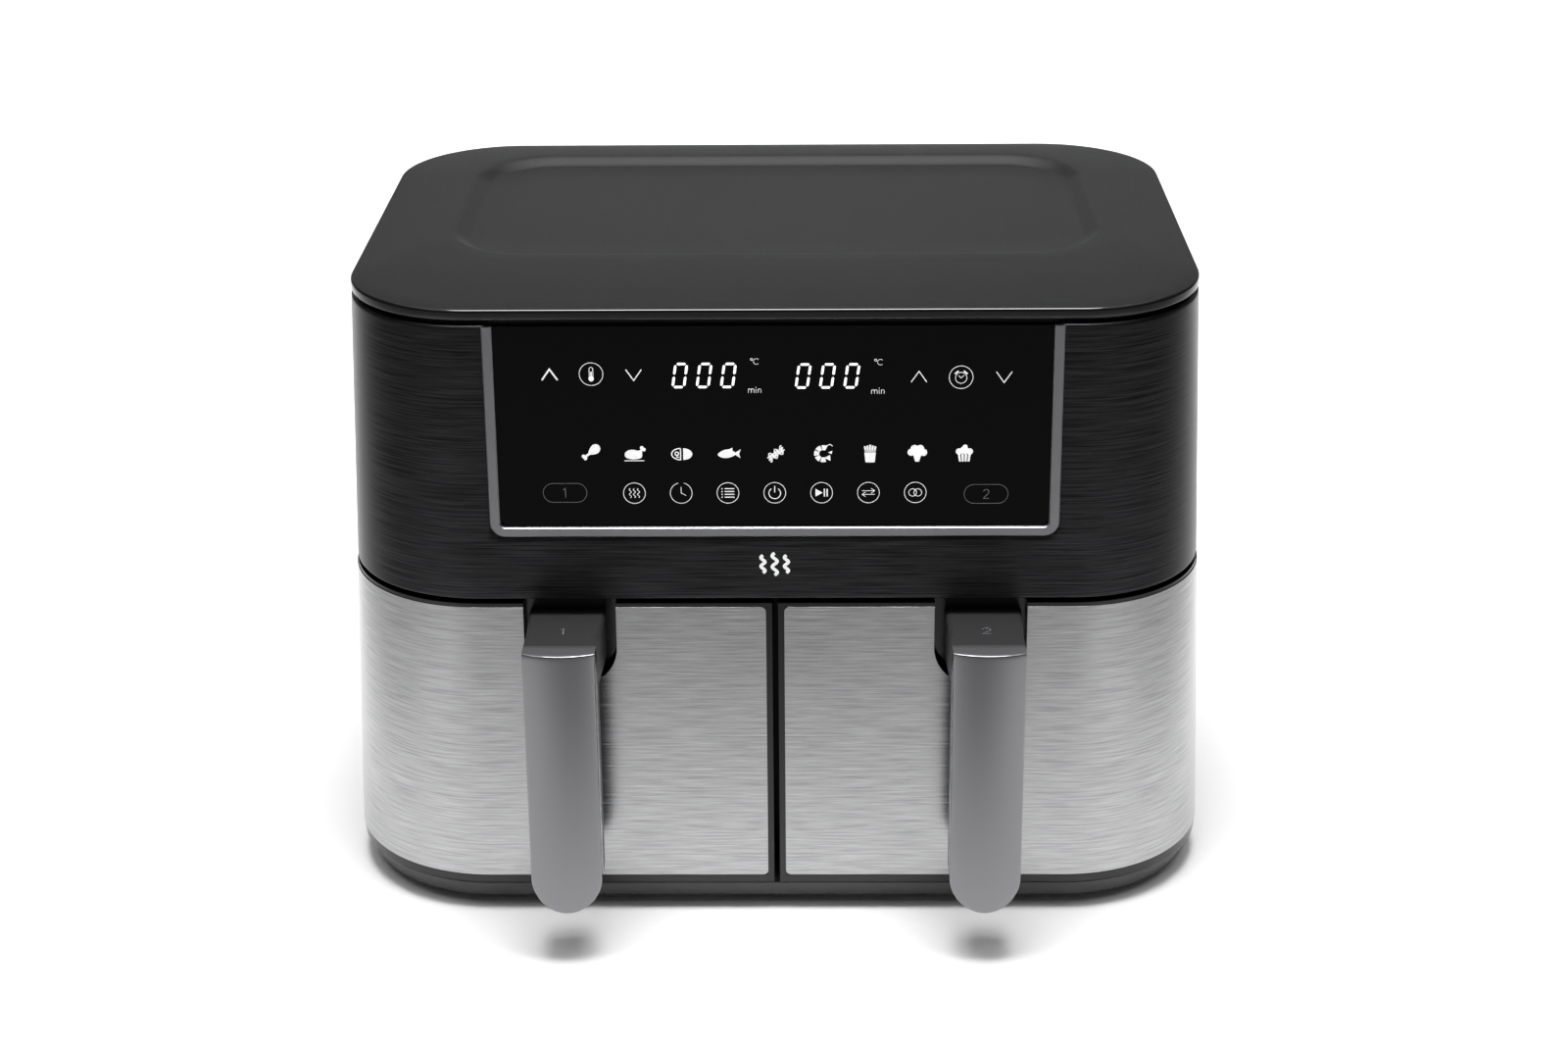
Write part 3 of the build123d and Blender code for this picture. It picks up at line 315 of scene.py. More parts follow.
# %% [markdown]
# ## Parts that keep their own shape
# Many parts already have their final form in the model: the rear shell with its louvres, the
# frame, the liners and everything sealed inside. They only need their finish, so a table says
# which part is made of what.

# %% Finishes of the model's own parts
finishes = {
    "base_pan": base_abs,
    "rubber_feet": silicone,
    "housing_screws": screw_zinc,
    "rear_panel": housing_abs,
    "side_shell": housing_abs,
    "rear_grilles": inner_plastic,
    "cord_gland": silicone,
    "control_glass": panel_glass,
    "control_board": solder_mask,
    "display_modules": smoked_plastic,
    "touch_springs": wire_steel,
    "front_frame": inner_plastic,
    "exhaust_ducts": bright_sheet,
    "power_board": solder_mask,
    "temperature_sensors": wire_steel,
    "reed_sensors": sensor_plastic,
    "chamber_liner": bright_sheet,
    "heating_element": heater_sheath,
    "motor_stator": motor_iron,
    "motor_bracket": screw_zinc,
    "motor_bushes": bush_bronze,
    "motor_shaft": ground_steel,
    "convection_fan": fan_aluminium,
    "cooling_fan": inner_plastic,
    "drawer_front": rim_gloss,
    "back_plate": inner_plastic,
    "basket_screws": screw_zinc,
    "drawer_seal": silicone,
    "drawer_magnet": ferrite,
    "handle_grip": grip_abs,
    "handle_screws": screw_zinc,
    "heater_guard": wire_steel,
    "basket": nonstick,
    "crisper_plate": nonstick,
    "plate_bumpers": silicone,
}
finished = 0
for name, node in nodes.items():
    kind = name.removeprefix("left_").removeprefix("right_")
    if kind in finishes:
        node.data.materials.clear()
        node.data.materials.append(finishes[kind])
        finished += 1
print("finished", finished, "parts")


# %% [markdown]
# ## Rounded rings
# The lid and the tray in it are rounded rectangles that change size from level to level. A
# rounded rectangle is a smaller rectangle with a disc carried round it: a point is a place on
# that rectangle plus the radius times a direction. With the same parameter at each level, the
# rings join into a smooth skin.

# %% Rings of a rounded rectangle
def ring_frame(per_corner=20, per_side=10):
    """For one turn of a ring: the signs (sx, sy) of the place on the inner rectangle, and the
    unit directions (dx, dy). Each corner turns through a right angle in one place, and each
    side slides from one corner's place to the next."""
    places, directions = [], []
    corners = [(1, -1), (1, 1), (-1, 1), (-1, -1)]
    for k, corner in enumerate(corners):
        turn = np.radians(90 * k - 90) + np.linspace(0, math.pi / 2, per_corner)
        directions.append(np.stack([np.cos(turn), np.sin(turn)], axis=1))
        places.append(np.tile(corner, (per_corner, 1)).astype(float))
        share = np.linspace(0, 1, per_side + 2)[1:-1, None]
        here, there = np.array(corner, float), np.array(corners[(k + 1) % 4], float)
        places.append(here + (there - here) * share)
        directions.append(np.tile(directions[-1][-1], (per_side, 1)))
    return np.concatenate(places), np.concatenate(directions)


def rings(levels, **density):
    """Rings (k, n, 3) for levels of (half width, half depth, corner radius, x, y, z)."""
    places, directions = ring_frame(**density)
    half_x, half_y, radius, x, y, z = np.array(levels, float).T[:, :, None]
    px = x + places[:, 0] * (half_x - radius) + directions[:, 0] * radius
    py = y + places[:, 1] * (half_y - radius) + directions[:, 1] * radius
    return np.stack([px, py, np.broadcast_to(z, px.shape)], axis=-1)


def rounding(radius, start, end, steps=5):
    """Points (across, up) on an arc of that radius, between two angles in degrees."""
    turn = np.radians(np.linspace(start, end, steps))
    return np.stack([radius * np.cos(turn), radius * np.sin(turn)], axis=1)


print("points round one ring:", len(ring_frame()[0]))

# %% [markdown]
# ## The lid
# The lid is one matte moulding. Its edge is a low band with a small radius that catches a thin
# line of light, its top rises gently to the lip of a shallow tray, and the tray has soft
# shoulders. The rings run from under the edge, over the top and down to the tray's floor. The
# tray lies nearer the back, so its rings also move in Y.

# %% Measures of the lid
tray_half_x, tray_half_y, tray_radius = 157 * mm, 86 * mm, 40 * mm
tray_y = body_y + 18.6 * mm
tray_depth, shoulder = 3.6 * mm, 9.0 * mm
edge_radius, edge_top = 1.4 * mm, lid_high.z - 3.6 * mm
lid_half_x, lid_half_y = lid_high.x, (lid_high.y - lid_low.y) / 2
band_low = 301.5 * mm
lip_out, lip_z = 2 * mm, lid_high.z - 0.25 * mm
rise_power = 1.7
print("tray", round(2 * tray_half_x, 4), "by", round(2 * tray_half_y, 4), "m")


# %% Levels of the lid
def inset_level(inset, z):
    """A level of the lid's own outline, set in by inset."""
    return (lid_half_x - inset, lid_half_y - inset, lid_radius - inset, 0, body_y, z)


def tray_level(inset, z):
    """A level of the tray's outline, set in by inset."""
    return (tray_half_x - inset, tray_half_y - inset, tray_radius - inset, 0, tray_y, z)


levels = [inset_level(8 * mm, band_low + 1 * mm), inset_level(6 * mm, band_low + 1 * mm)]
levels += [inset_level(6 * mm, lid_low.z), inset_level(4 * mm, lid_low.z)]
levels += [inset_level(4 * mm, band_low), inset_level(0.8 * mm, band_low)]
levels += [inset_level(0.2 * mm, band_low + 0.2 * mm), inset_level(0, band_low + 0.8 * mm)]
edge_arc = rounding(edge_radius, 0, 80, 7)
levels += [inset_level(edge_radius - a, edge_top - edge_radius + b) for a, b in edge_arc]
edge_level, lip_level = np.array(levels[-1]), np.array(tray_level(-lip_out, lip_z))
for share in np.linspace(0, 1, 9)[1:]:
    level = edge_level + (lip_level - edge_level) * share
    level[5] = edge_level[5] + (lip_level[5] - edge_level[5]) * (1 - (1 - share) ** rise_power)
    levels.append(tuple(level))
for share in np.linspace(0, 1, 13)[1:]:
    drop = tray_depth * (3 * share**2 - 2 * share**3)
    levels.append(tray_level(-lip_out + share * shoulder, lip_z - drop))
levels.append(tray_level(30 * mm, lip_z - tray_depth))
print(len(levels), "levels, from the rim's inside to the tray's floor")

# %% Lid surface
lid_rings = rings(levels, per_corner=28, per_side=12)
points, faces = closed_stack(lid_rings)
lid = make_mesh("lid", points, faces, sharp=60)
finish_piece(lid, "housing", lid_abs, "matte_cover", "top_cover")
lid.data.materials.append(rim_gloss)
row_of_face = np.repeat(np.arange(len(levels) - 1), lid_rings.shape[1])
# the edge band, rows 4 to 12, comes from a polished part of the mould
first_polished, last_polished = 4, 12
polished = (row_of_face >= first_polished) & (row_of_face <= last_polished)
polished = np.concatenate([polished, [False, False]])
lid.data.polygons.foreach_set("material_index", polished.astype(np.int32))


# %% [markdown]
# ## Sheets that wrap the housing
# The black fascia and the two steel skins follow the housing from a seam at the side, round the
# corner and across the front. They share one path in plan: along the side, through the corner,
# along the front. A point on a sheet is a place on the inner rectangle plus a direction times the
# corner radius of its height, less an inset.

# %% Path round the front left corner
def front_path(rear_y, inner_x, marks=(), per_corner=28):
    """Places, directions and lengths along the plan, from the side at rear_y round the left
    corner to inner_x. marks are x values where a column must stand."""
    side_y = np.linspace(rear_y, body_y - flat_y, 5)[:-1]
    turn = np.linspace(math.pi, 1.5 * math.pi, per_corner)
    front_x = np.concatenate([np.linspace(-flat_x, inner_x, 24), np.array(marks, float)])
    front_x = np.unique(front_x)[1:]
    px = np.concatenate([np.full(len(side_y), -flat_x), np.full(per_corner, -flat_x), front_x])
    py = np.concatenate([side_y, np.full(per_corner + len(front_x), body_y - flat_y)])
    dx = np.concatenate([np.full(len(side_y), -1.0), np.cos(turn), np.zeros(len(front_x))])
    dy = np.concatenate([np.zeros(len(side_y)), np.sin(turn), np.full(len(front_x), -1.0)])
    usual_radius = 64 * mm
    x, y = px + usual_radius * dx, py + usual_radius * dy
    length = np.concatenate([[0], np.cumsum(np.hypot(np.diff(x), np.diff(y)))])
    return np.stack([px, py], 1), np.stack([dx, dy], 1), length


def on_housing(places, directions, z, inset):
    """Points of the housing's surface at heights z, set in by inset:
    place + direction * (radius(z) - inset)."""
    reach = lid_radius + (fascia_high - z) * slope - inset
    x = places[:, 0] + directions[:, 0] * reach
    y = places[:, 1] + directions[:, 1] * reach
    return np.stack([x, y, np.broadcast_to(z, x.shape)], axis=-1)


print("path from the seam to the middle:", round(front_path(seam_y, 0.0)[2][-1], 4), "m")

# %% [markdown]
# ## The fascia
# The fascia's sheet is a grid of heights along that path, mirrored to the right. Its lower and
# upper edges turn in with a small radius, and the quads inside the panel's opening are left out;
# the trim covers the cut edge.

# %% Fascia surface
panel_half, panel_low = 129.5 * mm, 200 * mm
fold = 1.2 * mm
low_fold = [(9 * mm, fascia_low), (fold, fascia_low)]
low_fold += [(fold - a, fascia_low + fold + b) for a, b in rounding(fold, 270, 360)][1:]
high_fold = [(fold - a, fascia_high - fold + b) for a, b in rounding(fold, 0, 90)]
high_fold += [(2.8 * mm, fascia_high)]
middle = [(0, z) for z in np.linspace(fascia_low + 2 * fold, panel_low, 6)]
middle += [(0, z) for z in np.linspace(panel_low, fascia_high - 2 * fold, 12)[1:]]
inset, height = np.array(low_fold + middle + high_fold).T
places, directions, length = front_path(seam_y, 0.0, marks=[-panel_half])
left_half = on_housing(places, directions, height[:, None], inset[:, None])
right_half = left_half[:, ::-1][:, 1:] * np.array([-1, 1, 1])
fascia_points = np.concatenate([left_half, right_half], axis=1)
along = np.concatenate([length, 2 * length[-1] - length[::-1][1:]])
uv = np.stack(np.broadcast_arrays(along[None, :], height[:, None]), axis=-1)
faces = grid_faces(*fascia_points.shape[:2])
centre_x = (fascia_points[:-1, :-1, 0] + fascia_points[:-1, 1:, 0]) / 2
centre_z = (height[:-1, None] + height[1:, None]) / 2
solid = (np.abs(centre_x) > panel_half) | (centre_z < panel_low)
fascia = make_mesh("fascia", fascia_points, faces[solid].tolist(), uv)
thickness = fascia.modifiers.new("sheet", "SOLIDIFY")
thickness.thickness, thickness.offset = 1.0 * mm, -1
finish_piece(fascia, "housing", fascia_steel, "brushed_black", "front_fascia")


# %% [markdown]
# ## The drawer skins
# Each skin is a thin steel sheet with slightly rounded corners and a notch for the handle's root.
# Every column of its grid has a lower, a middle and an upper height. Under the notch the middle
# height follows the notch's round bottom and the quads above it are left out. Solidify gives the
# sheet its 0.8 mm and a bevel makes its edge shine.

# %% Skin surface
skin_low, skin_high = 19.85 * mm, 161.25 * mm
skin_inner, skin_corner, skin_proud = 4.3 * mm, 2.5 * mm, 0.4 * mm
notch_x, notch_half, notch_low, notch_radius = 97 * mm, 21.8 * mm, 122 * mm, 18 * mm
notch_spring = notch_low + notch_radius


def corner_drop(distance, radius):
    """How far a round corner falls short of the edge, at a distance in from the side."""
    inside = np.clip(radius - distance, 0, radius)
    return radius - np.sqrt(radius**2 - inside**2)


def skin_grid():
    """Points, UV and kept quads of the left skin."""
    across_notch = np.concatenate([-np.cos(np.linspace(0, math.pi, 25)), [-0.999, 0.999]])
    marks = -notch_x + notch_half * across_notch
    ends = -skin_inner - skin_corner * (1 - np.cos(np.linspace(0, math.pi / 2, 7)))
    marks = np.concatenate([marks, ends])
    places, directions, length = front_path(seam_y - 4 * mm, -skin_inner, marks)
    x = places[:, 0].copy()
    x[directions[:, 1] > -0.999] = -flat_x
    drop = corner_drop(-skin_inner - x, skin_corner)
    drop = np.maximum(drop, corner_drop(length, skin_corner))
    from_middle = np.abs(x + notch_x)
    spring = notch_spring - notch_radius + corner_drop(notch_half - from_middle, notch_radius)
    split = np.where(from_middle < notch_half, spring, notch_spring)
    lower_rows = 12
    lower = np.linspace(0, 1, lower_rows)[:, None]
    upper = np.linspace(0, 1, 5)[1:, None]
    low, high = skin_low + drop, skin_high - drop
    z = np.concatenate([low + (split - low) * lower, notch_spring + (high - notch_spring) * upper])
    points = on_housing(places, directions, z, -skin_proud)
    uv = np.stack([np.broadcast_to(length, z.shape), z], axis=-1)
    middle_x = (x[:-1] + x[1:]) / 2
    within = np.abs(middle_x + notch_x) < notch_half
    above = np.arange(len(z) - 1) >= lower_rows - 1
    in_notch = within[None, :] & above[:, None]
    return points, uv, grid_faces(*z.shape)[~in_notch]


skin_points, skin_uv, skin_faces = skin_grid()
for side, sign in (("left", 1), ("right", -1)):
    faces = skin_faces if sign == 1 else skin_faces[:, ::-1]
    skin = make_mesh(f"{side}_skin", skin_points * np.array([sign, 1, 1]), faces.tolist(), skin_uv)
    thickness = skin.modifiers.new("sheet", "SOLIDIFY")
    thickness.thickness, thickness.offset = 0.75 * mm, -1
    edge = skin.modifiers.new("edge", "BEVEL")
    edge.width, edge.segments, edge.harden_normals = 0.3 * mm, 2, True
    edge.limit_method, edge.angle_limit = "ANGLE", math.radians(50)
    finish_piece(skin, f"{side}_drawer", skin_steel, "steel_skin", f"{side}_front_skin")


# %% [markdown]
# ## On the leaning front
# The panel, its trim and the handles lie on the front face, which leans back by the draft angle.
# One function places them: x across, y up the face and z out of it.

# %% Face coordinates
face_foot = body_y - flat_y - lid_radius - fascia_high * slope


def on_face(x, up, out):
    """Points for places on the leaning front: x across, up the face, out of it."""
    x, up, out = np.broadcast_arrays(x, up, out)
    y = face_foot + up * math.sin(draft) - out * math.cos(draft)
    return np.stack([x, y, up * math.cos(draft) + out * math.sin(draft)], axis=-1)


print("front face at the worktop: y", round(face_foot, 4))


# %% [markdown]
# ## The handle covers
# Each handle wears a chrome tongue, flat at the top and round at the bottom, with a front that is
# crowned from side to side. Its outline is one parameter and the way from the outline to its
# spine is the other, so the quads fan out towards the spine. The sides meet the front in a small
# radius, which shows as the bright line round the handle.

# %% Handle covers
handle_x, handle_half = 98.5 * mm, 16.75 * mm
handle_low, handle_high = 25 * mm, 157 * mm
cover_back, cover_reach, cover_crown, cover_edge = 36 * mm, 49 * mm, 3.5 * mm, 0.9 * mm
crown_radius = (handle_half**2 + cover_crown**2) / (2 * cover_crown)


def tongue_outline(half, low, high, per_end=48):
    """Outline of a tongue (x, up), going round once: round the bottom, up the right side,
    across the flat top and down the left side. Also the spine point that each faces."""
    turn = np.linspace(math.pi, 2 * math.pi, per_end)
    bottom = np.stack([half * np.cos(turn), low + half + half * np.sin(turn)], 1)
    right = np.stack([np.full(14, half), np.linspace(low + half, high - half, 15)[1:]], 1)
    corner = np.stack([np.full(8, half), np.linspace(high - half, high, 9)[1:]], 1)
    top = np.stack([np.linspace(half, -half, 17)[1:-1], np.full(15, high)], 1)
    other = (np.concatenate([right, corner]) * [-1, 1])[::-1]
    outline = np.concatenate([bottom, right, corner, top, other])
    spine = np.stack([0 * outline[:, 0], np.clip(outline[:, 1], low + half, high - half)], 1)
    return outline, spine


def crown(x):
    """How far out the crowned front stands at x."""
    return cover_reach - crown_radius + np.sqrt(crown_radius**2 - x**2)


def cover_mesh():
    """Points and faces of the left cover: the side rises from the back rim, turns over the
    edge's arc, and the crowned front closes towards the spine."""
    outline, spine = tongue_outline(handle_half, handle_low, handle_high)
    inward = spine - outline
    reach = np.linalg.norm(inward, axis=1, keepdims=True)
    rows = []
    for step in np.linspace(0, 1, 5):
        out = cover_back + (crown(outline[:, 0]) - cover_edge - cover_back) * step
        rows.append(on_face(outline[:, 0] - handle_x, outline[:, 1], out))
    for turn in np.radians(np.linspace(0, 90, 7))[1:]:
        ring = outline + inward / reach * cover_edge * (1 - math.cos(turn))
        out = crown(ring[:, 0]) - cover_edge * (1 - math.sin(turn))
        rows.append(on_face(ring[:, 0] - handle_x, ring[:, 1], out))
    start = outline + inward / reach * cover_edge
    for share in np.linspace(0, 1, 9)[1:]:
        ring = start + (spine - start) * share * 0.999
        rows.append(on_face(ring[:, 0] - handle_x, ring[:, 1], crown(ring[:, 0])))
    stack = np.array(rows)
    quads = grid_faces(*stack.shape[:2], wrap_columns=True)
    return stack.reshape(-1, 3), quads.reshape(-1, 4).tolist()


cover_points, cover_faces = cover_mesh()
for side, sign in (("left", 1), ("right", -1)):
    faces = cover_faces if sign == 1 else [f[::-1] for f in cover_faces]
    cover = make_mesh(f"{side}_cover", cover_points * np.array([sign, 1, 1]), faces, sharp=50)
    weld = cover.modifiers.new("spine", "WELD")
    weld.merge_threshold = 0.05 * mm
    shell = cover.modifiers.new("shell", "SOLIDIFY")
    shell.thickness, shell.offset = 1.2 * mm, -1
    finish_piece(cover, f"{side}_drawer", chrome, "chrome_cover", f"{side}_handle_cover")
    cover.data.materials.append(cap_satin)
    normals = np.zeros(len(cover.data.polygons) * 3, np.float32)
    cover.data.polygons.foreach_get("normal", normals)
    cover.data.polygons.foreach_set("material_index", (normals[2::3] > 0.9).astype(np.int32))


# %% [markdown]
# ## The panel's trim
# A satin aluminium band frames the glass on three sides. It is a small profile carried along a U:
# down the left, round the corner, across, and up the right. The profile's two front edges are
# chamfered, and they shine.

# %% Trim
trim_half, trim_low, trim_top, trim_width = 132.4 * mm, 197.1 * mm, 298.6 * mm, 4.7 * mm
trim_outer_radius, trim_proud = 7.2 * mm, 1.2 * mm


def u_path(offset, steps=14):
    """The U (x, up) at an offset in from the trim's outer edge, its corner arcs concentric."""
    radius = trim_outer_radius - offset
    cx, cy = trim_half - trim_outer_radius, trim_low + trim_outer_radius
    turn = np.linspace(math.pi, 1.5 * math.pi, steps)
    corner = np.stack([-cx + radius * np.cos(turn), cy + radius * np.sin(turn)], 1)
    left = np.concatenate([[[-trim_half + offset, trim_top]], corner])
    return np.concatenate([left, left[::-1] * [-1, 1]])


chamfer = 0.55 * mm
trim_sunk = 2.8 * mm
profile = [(0, -trim_sunk), (0, trim_proud - chamfer), (chamfer, trim_proud)]
profile += [(trim_width - chamfer, trim_proud), (trim_width, trim_proud - chamfer)]
profile += [(trim_width, -trim_sunk)]
stack = np.array([on_face(u_path(o)[:, 0], u_path(o)[:, 1], out) for o, out in profile])
k, n = stack.shape[:2]
faces = grid_faces(k, n, wrap_rows=True).reshape(-1, 4)[:, ::-1].tolist()
faces += [[i * n for i in range(k)], [i * n + n - 1 for i in range(k)][::-1]]
trim = make_mesh("trim", stack, faces, sharp=30)
finish_piece(trim, "housing", satin_trim, "satin_trim", "panel_trim")

# %% [markdown]
# ## Printing on the panel
# The panel's marks are a white screen print on the glass, and the two displays show lit digits.
# They are drawn in millimetres from a few flat shapes: discs, polygons, and strokes, which are
# ribbons along a path. A stroke's edge is its path moved half the width along the normal,
# lengthened at each corner so that the width stays the same.

# %% Flat shapes
def polygon(outline):
    """A filled shape from its outline, as (points, faces)."""
    outline = np.array(outline, float)
    return outline, [list(range(len(outline)))]


def arc(x, y, radius, start=0.0, end=360.0, steps=28, squash=1.0):
    """Points on an arc about (x, y), between two angles in degrees, flattened by squash."""
    turn = np.radians(np.linspace(start, end, steps))
    return np.stack([x + radius * np.cos(turn), y + radius * squash * np.sin(turn)], 1)


def disc(x, y, radius, squash=1.0):
    """A filled disc or ellipse."""
    return polygon(arc(x, y, radius, squash=squash)[:-1])


def stroke(path, width):
    """A ribbon of that width along a path, mitred at its corners."""
    path = np.array(path, float)
    step = np.diff(path, axis=0)
    step /= np.linalg.norm(step, axis=1, keepdims=True)
    side = np.stack([-step[:, 1], step[:, 0]], 1)
    before, after = np.concatenate([side[:1], side]), np.concatenate([side, side[-1:]])
    mitre = before + after
    mitre /= np.linalg.norm(mitre, axis=1, keepdims=True)
    reach = width / 2 / np.maximum((mitre * after).sum(axis=1), 0.5)[:, None]
    points = np.stack([path - mitre * reach, path + mitre * reach], axis=1)
    return points.reshape(-1, 2), grid_faces(len(path), 2).reshape(-1, 4).tolist()


def placed(shapes, x, y, turn=0.0, size=1.0):
    """Shapes turned by an angle in degrees, sized, and moved to (x, y)."""
    c, s = math.cos(math.radians(turn)) * size, math.sin(math.radians(turn)) * size
    spin = np.array([[c, s], [-s, c]])
    return [(points @ spin + (x, y), faces) for points, faces in shapes]


def smooth_loop(corners, steps=6):
    """A closed smooth line through corner points: a Catmull-Rom spline, steps points a span."""
    p1 = np.array(corners, float)
    p0, p2, p3 = np.roll(p1, 1, axis=0), np.roll(p1, -1, axis=0), np.roll(p1, -2, axis=0)
    t = (np.arange(steps) / steps)[None, :, None]
    p0, p1, p2, p3 = (p[:, None] for p in (p0, p1, p2, p3))
    curve = 2 * p1 + (p2 - p0) * t + (2 * p0 - 5 * p1 + 4 * p2 - p3) * t**2
    curve += (3 * p1 - p0 - 3 * p2 + p3) * t**3
    return (curve / 2).reshape(-1, 2)


# %% [markdown]
# ## The panel's symbols
# Arrows, a thermometer and an alarm clock set heat and time. A row of foods picks a programme,
# and a row of ringed keys works the two drawers. Each symbol is about 10 mm across and drawn
# around its own middle.

# %% Symbols for keys
thin, fine = 0.28, 0.22


def chevron(width):
    """An arrow that points up."""
    return [stroke([(-3.6, -2.6), (0, 2.6), (3.6, -2.6)], width)]


def ringed(shapes, radius=5.0, width=thin, start=0.0, end=360.0):
    """Shapes inside a thin ring, which may have a gap."""
    return [stroke(arc(0, 0, radius, start, end, 48), width)] + shapes


def wave(x, height, width):
    """A rising wave of warm air."""
    y = np.linspace(-height / 2, height / 2, 22)
    return stroke(np.stack([x + height * 0.11 * np.sin(y / height * 4 * math.pi), y], 1), width)


thermometer = [disc(0, -2.2, 1.25), stroke(arc(0, 2.4, 0.85, 180, 0), thin)]
thermometer += [stroke([(x, 2.4), (x, -1.6)], thin) for x in (-0.85, 0.85)]
thermometer += [stroke([(0, -2), (0, 1.2)], 0.7)]
alarm_clock = [stroke(arc(0, -0.3, 2.6), thin), stroke([(-1.1, 0.8), (0, -0.4), (1.3, 0.9)], thin)]
alarm_clock += placed([stroke([(-1.1, 3.3), (1.1, 3.3)], 0.7)], 0, -0.3, 38)
alarm_clock += placed([stroke([(-1.1, 3.3), (1.1, 3.3)], 0.7)], 0, -0.3, -38)
keep_warm = [wave(x, 4.6, thin) for x in (-1.9, 0, 1.9)]
delay = [stroke([(0, 3.0), (0, 0), (2.3, -1.2)], thin)]
menu = [stroke([(-1.5, y), (3, y)], 0.45) for y in (-2.1, -0.7, 0.7, 2.1)]
menu += [disc(-2.7, y, 0.32) for y in (-2.1, -0.7, 0.7, 2.1)]
power = [stroke(arc(0, -0.2, 2.7, 125, 415), 0.42), stroke([(0, 0.2), (0, 3.4)], 0.42)]
play = [polygon([(-2.8, -1.9), (0.5, 0), (-2.8, 1.9)])]
play += [stroke([(x, -1.9), (x, 1.9)], 0.6) for x in (1.3, 2.6)]
match_time = [stroke([(-2.9, y), (2.9, y)], thin) for y in (-0.9, 0.9)]
for side, y in ((-1, -0.9), (1, 0.9)):
    match_time += [stroke([(side * 1.3, y - 1.2), (side * 2.9, y), (side * 1.3, y + 1.2)], thin)]
linked = [stroke(arc(x, 0, 1.8), thin) for x in (-1.2, 1.2)]
one = [stroke([(-0.9, 1.5), (0.2, 2.3), (0.2, -2.3)], thin)]
two_line = np.concatenate([arc(0, 1.0, 1.25, 165, -35, 14), [[-1.25, -2.2], [1.35, -2.2]]])
two = [stroke(two_line, thin)]
pill_ends = [arc(5.5, 0, 4.65, -90, 90), arc(-5.5, 0, 4.65, 90, 270)]
pill = [stroke(np.concatenate(pill_ends + [[[5.5, -4.65]]]), fine)]


# %% Symbols for foods
def bones(length):
    """A drumstick's bare bone, with its two knobs."""
    return [stroke([(0, 0), (length, 0)], 1.1), disc(length, 0.65, 0.85), disc(length, -0.65, 0.85)]


meat = [(0.4, 0), (-0.8, 1.3), (-3.4, 2.2), (-5.4, 1.1), (-5.6, -1.0), (-3.8, -2.3), (-0.9, -1.4)]
drumstick = placed([polygon(smooth_loop(meat))] + bones(3.0), 0.8, 0.4, -142)
roast = [(-4.2, -1.4), (-4.4, 0.6), (-2.4, 2.0), (0.6, 1.9), (3.2, 0.2), (2.6, -1.9), (-1.4, -2.4)]
chicken = [polygon(smooth_loop(roast))]
chicken += placed(bones(2.2), 2.2, 1.0, 48) + placed([disc(0, 0, 1.5, 0.75)], 2.0, 0.6, 40)
chicken += [stroke([(-4.8, -3.1), (4.2, -3.1)], 0.4)]
steaks = [polygon(arc(0.6, 0, 4.1, -90, 90, squash=0.68))]
steaks += [stroke(np.concatenate([arc(-0.6, 0, 4.0, 90, 270, squash=0.68), [[-0.6, 2.72]]]), 0.5)]
steaks += [stroke(arc(-2.3, 0.2, 0.8), 0.5), stroke([(-1.2, -1.6), (-2.6, -1.2)], 0.5)]
fish_back = [(-5.0, -0.2), (-2.6, 1.7), (0.4, 2.1), (3.0, 0.5)]
fish_belly = [(2.6, -0.6), (-0.2, -1.8), (-3.2, -1.7)]
tail, fin = [(2.2, 0.1), (5.4, 2.3), (4.6, 0.1), (5.2, -2.0)], [(-0.8, 1.8), (1.6, 3.0), (1.6, 1.2)]
fish = [polygon(smooth_loop(fish_back + fish_belly)), polygon(tail), polygon(fin)]
rasher = np.linspace(-4.6, 4.6, 40)
stripes = [(1.3, 0.6), (0, 1.0), (-1.3, 0.6)]
bacon = [stroke(np.stack([rasher, y + 0.75 * np.sin(rasher * 1.9)], 1), w) for y, w in stripes]
bacon = placed(bacon, 0, 0, 36, 0.92)
prawn = [stroke(arc(0, 0, 2.9, 60 + 48 * k, 100 + 48 * k, 8), 2.3) for k in range(5)]
prawn += [polygon([(0.6, -2.0), (3.2, -0.6), (3.4, -3.4)])]
prawn += [stroke([(0.8, 3.6), (3.2, 4.4), (4.4, 3.6)], 0.35)]
prawn += [polygon([(2.2, 0.6), (4.2, 1.4), (3.9, -0.2)])]
fries = [polygon([(-2.6, 0.6), (-2.1, -4.2), (2.1, -4.2), (2.6, 0.6)])]
fries += [stroke([(-2.5, 1.25), (2.5, 1.25)], 0.5)]
for x in (-2.1, -1.05, 0, 1.05, 2.1):
    fries += [stroke([(x, 1.7), (x * 1.15, 4.2 - abs(x) * 0.35)], 0.85)]
florets = [(-2.7, 0.6, 1.7), (-1.2, 2.3, 1.8), (1.3, 2.3, 1.8), (2.8, 0.5, 1.7), (0, 0.8, 2.0)]
broccoli = [disc(*floret) for floret in florets]
broccoli += [polygon([(-1.9, -0.4), (-0.9, -3.9), (0.9, -3.9), (1.9, -0.4)])]
swirls = [(-2.4, 0.9, 1.5), (0, 1.6, 1.9), (2.4, 0.9, 1.5), (0.3, 3.1, 1.1)]
cupcake = [disc(*swirl) for swirl in swirls]
for x in (-2.4, -0.8, 0.8, 2.4):
    foot = x * 0.8
    pleat = [(x - 0.55, -0.3), (foot - 0.45, -3.9), (foot + 0.45, -3.9), (x + 0.55, -0.3)]
    cupcake += [polygon(pleat)]
foods = [drumstick, chicken, steaks, fish, bacon, prawn, fries, broccoli, cupcake]
print(len(foods), "food symbols")

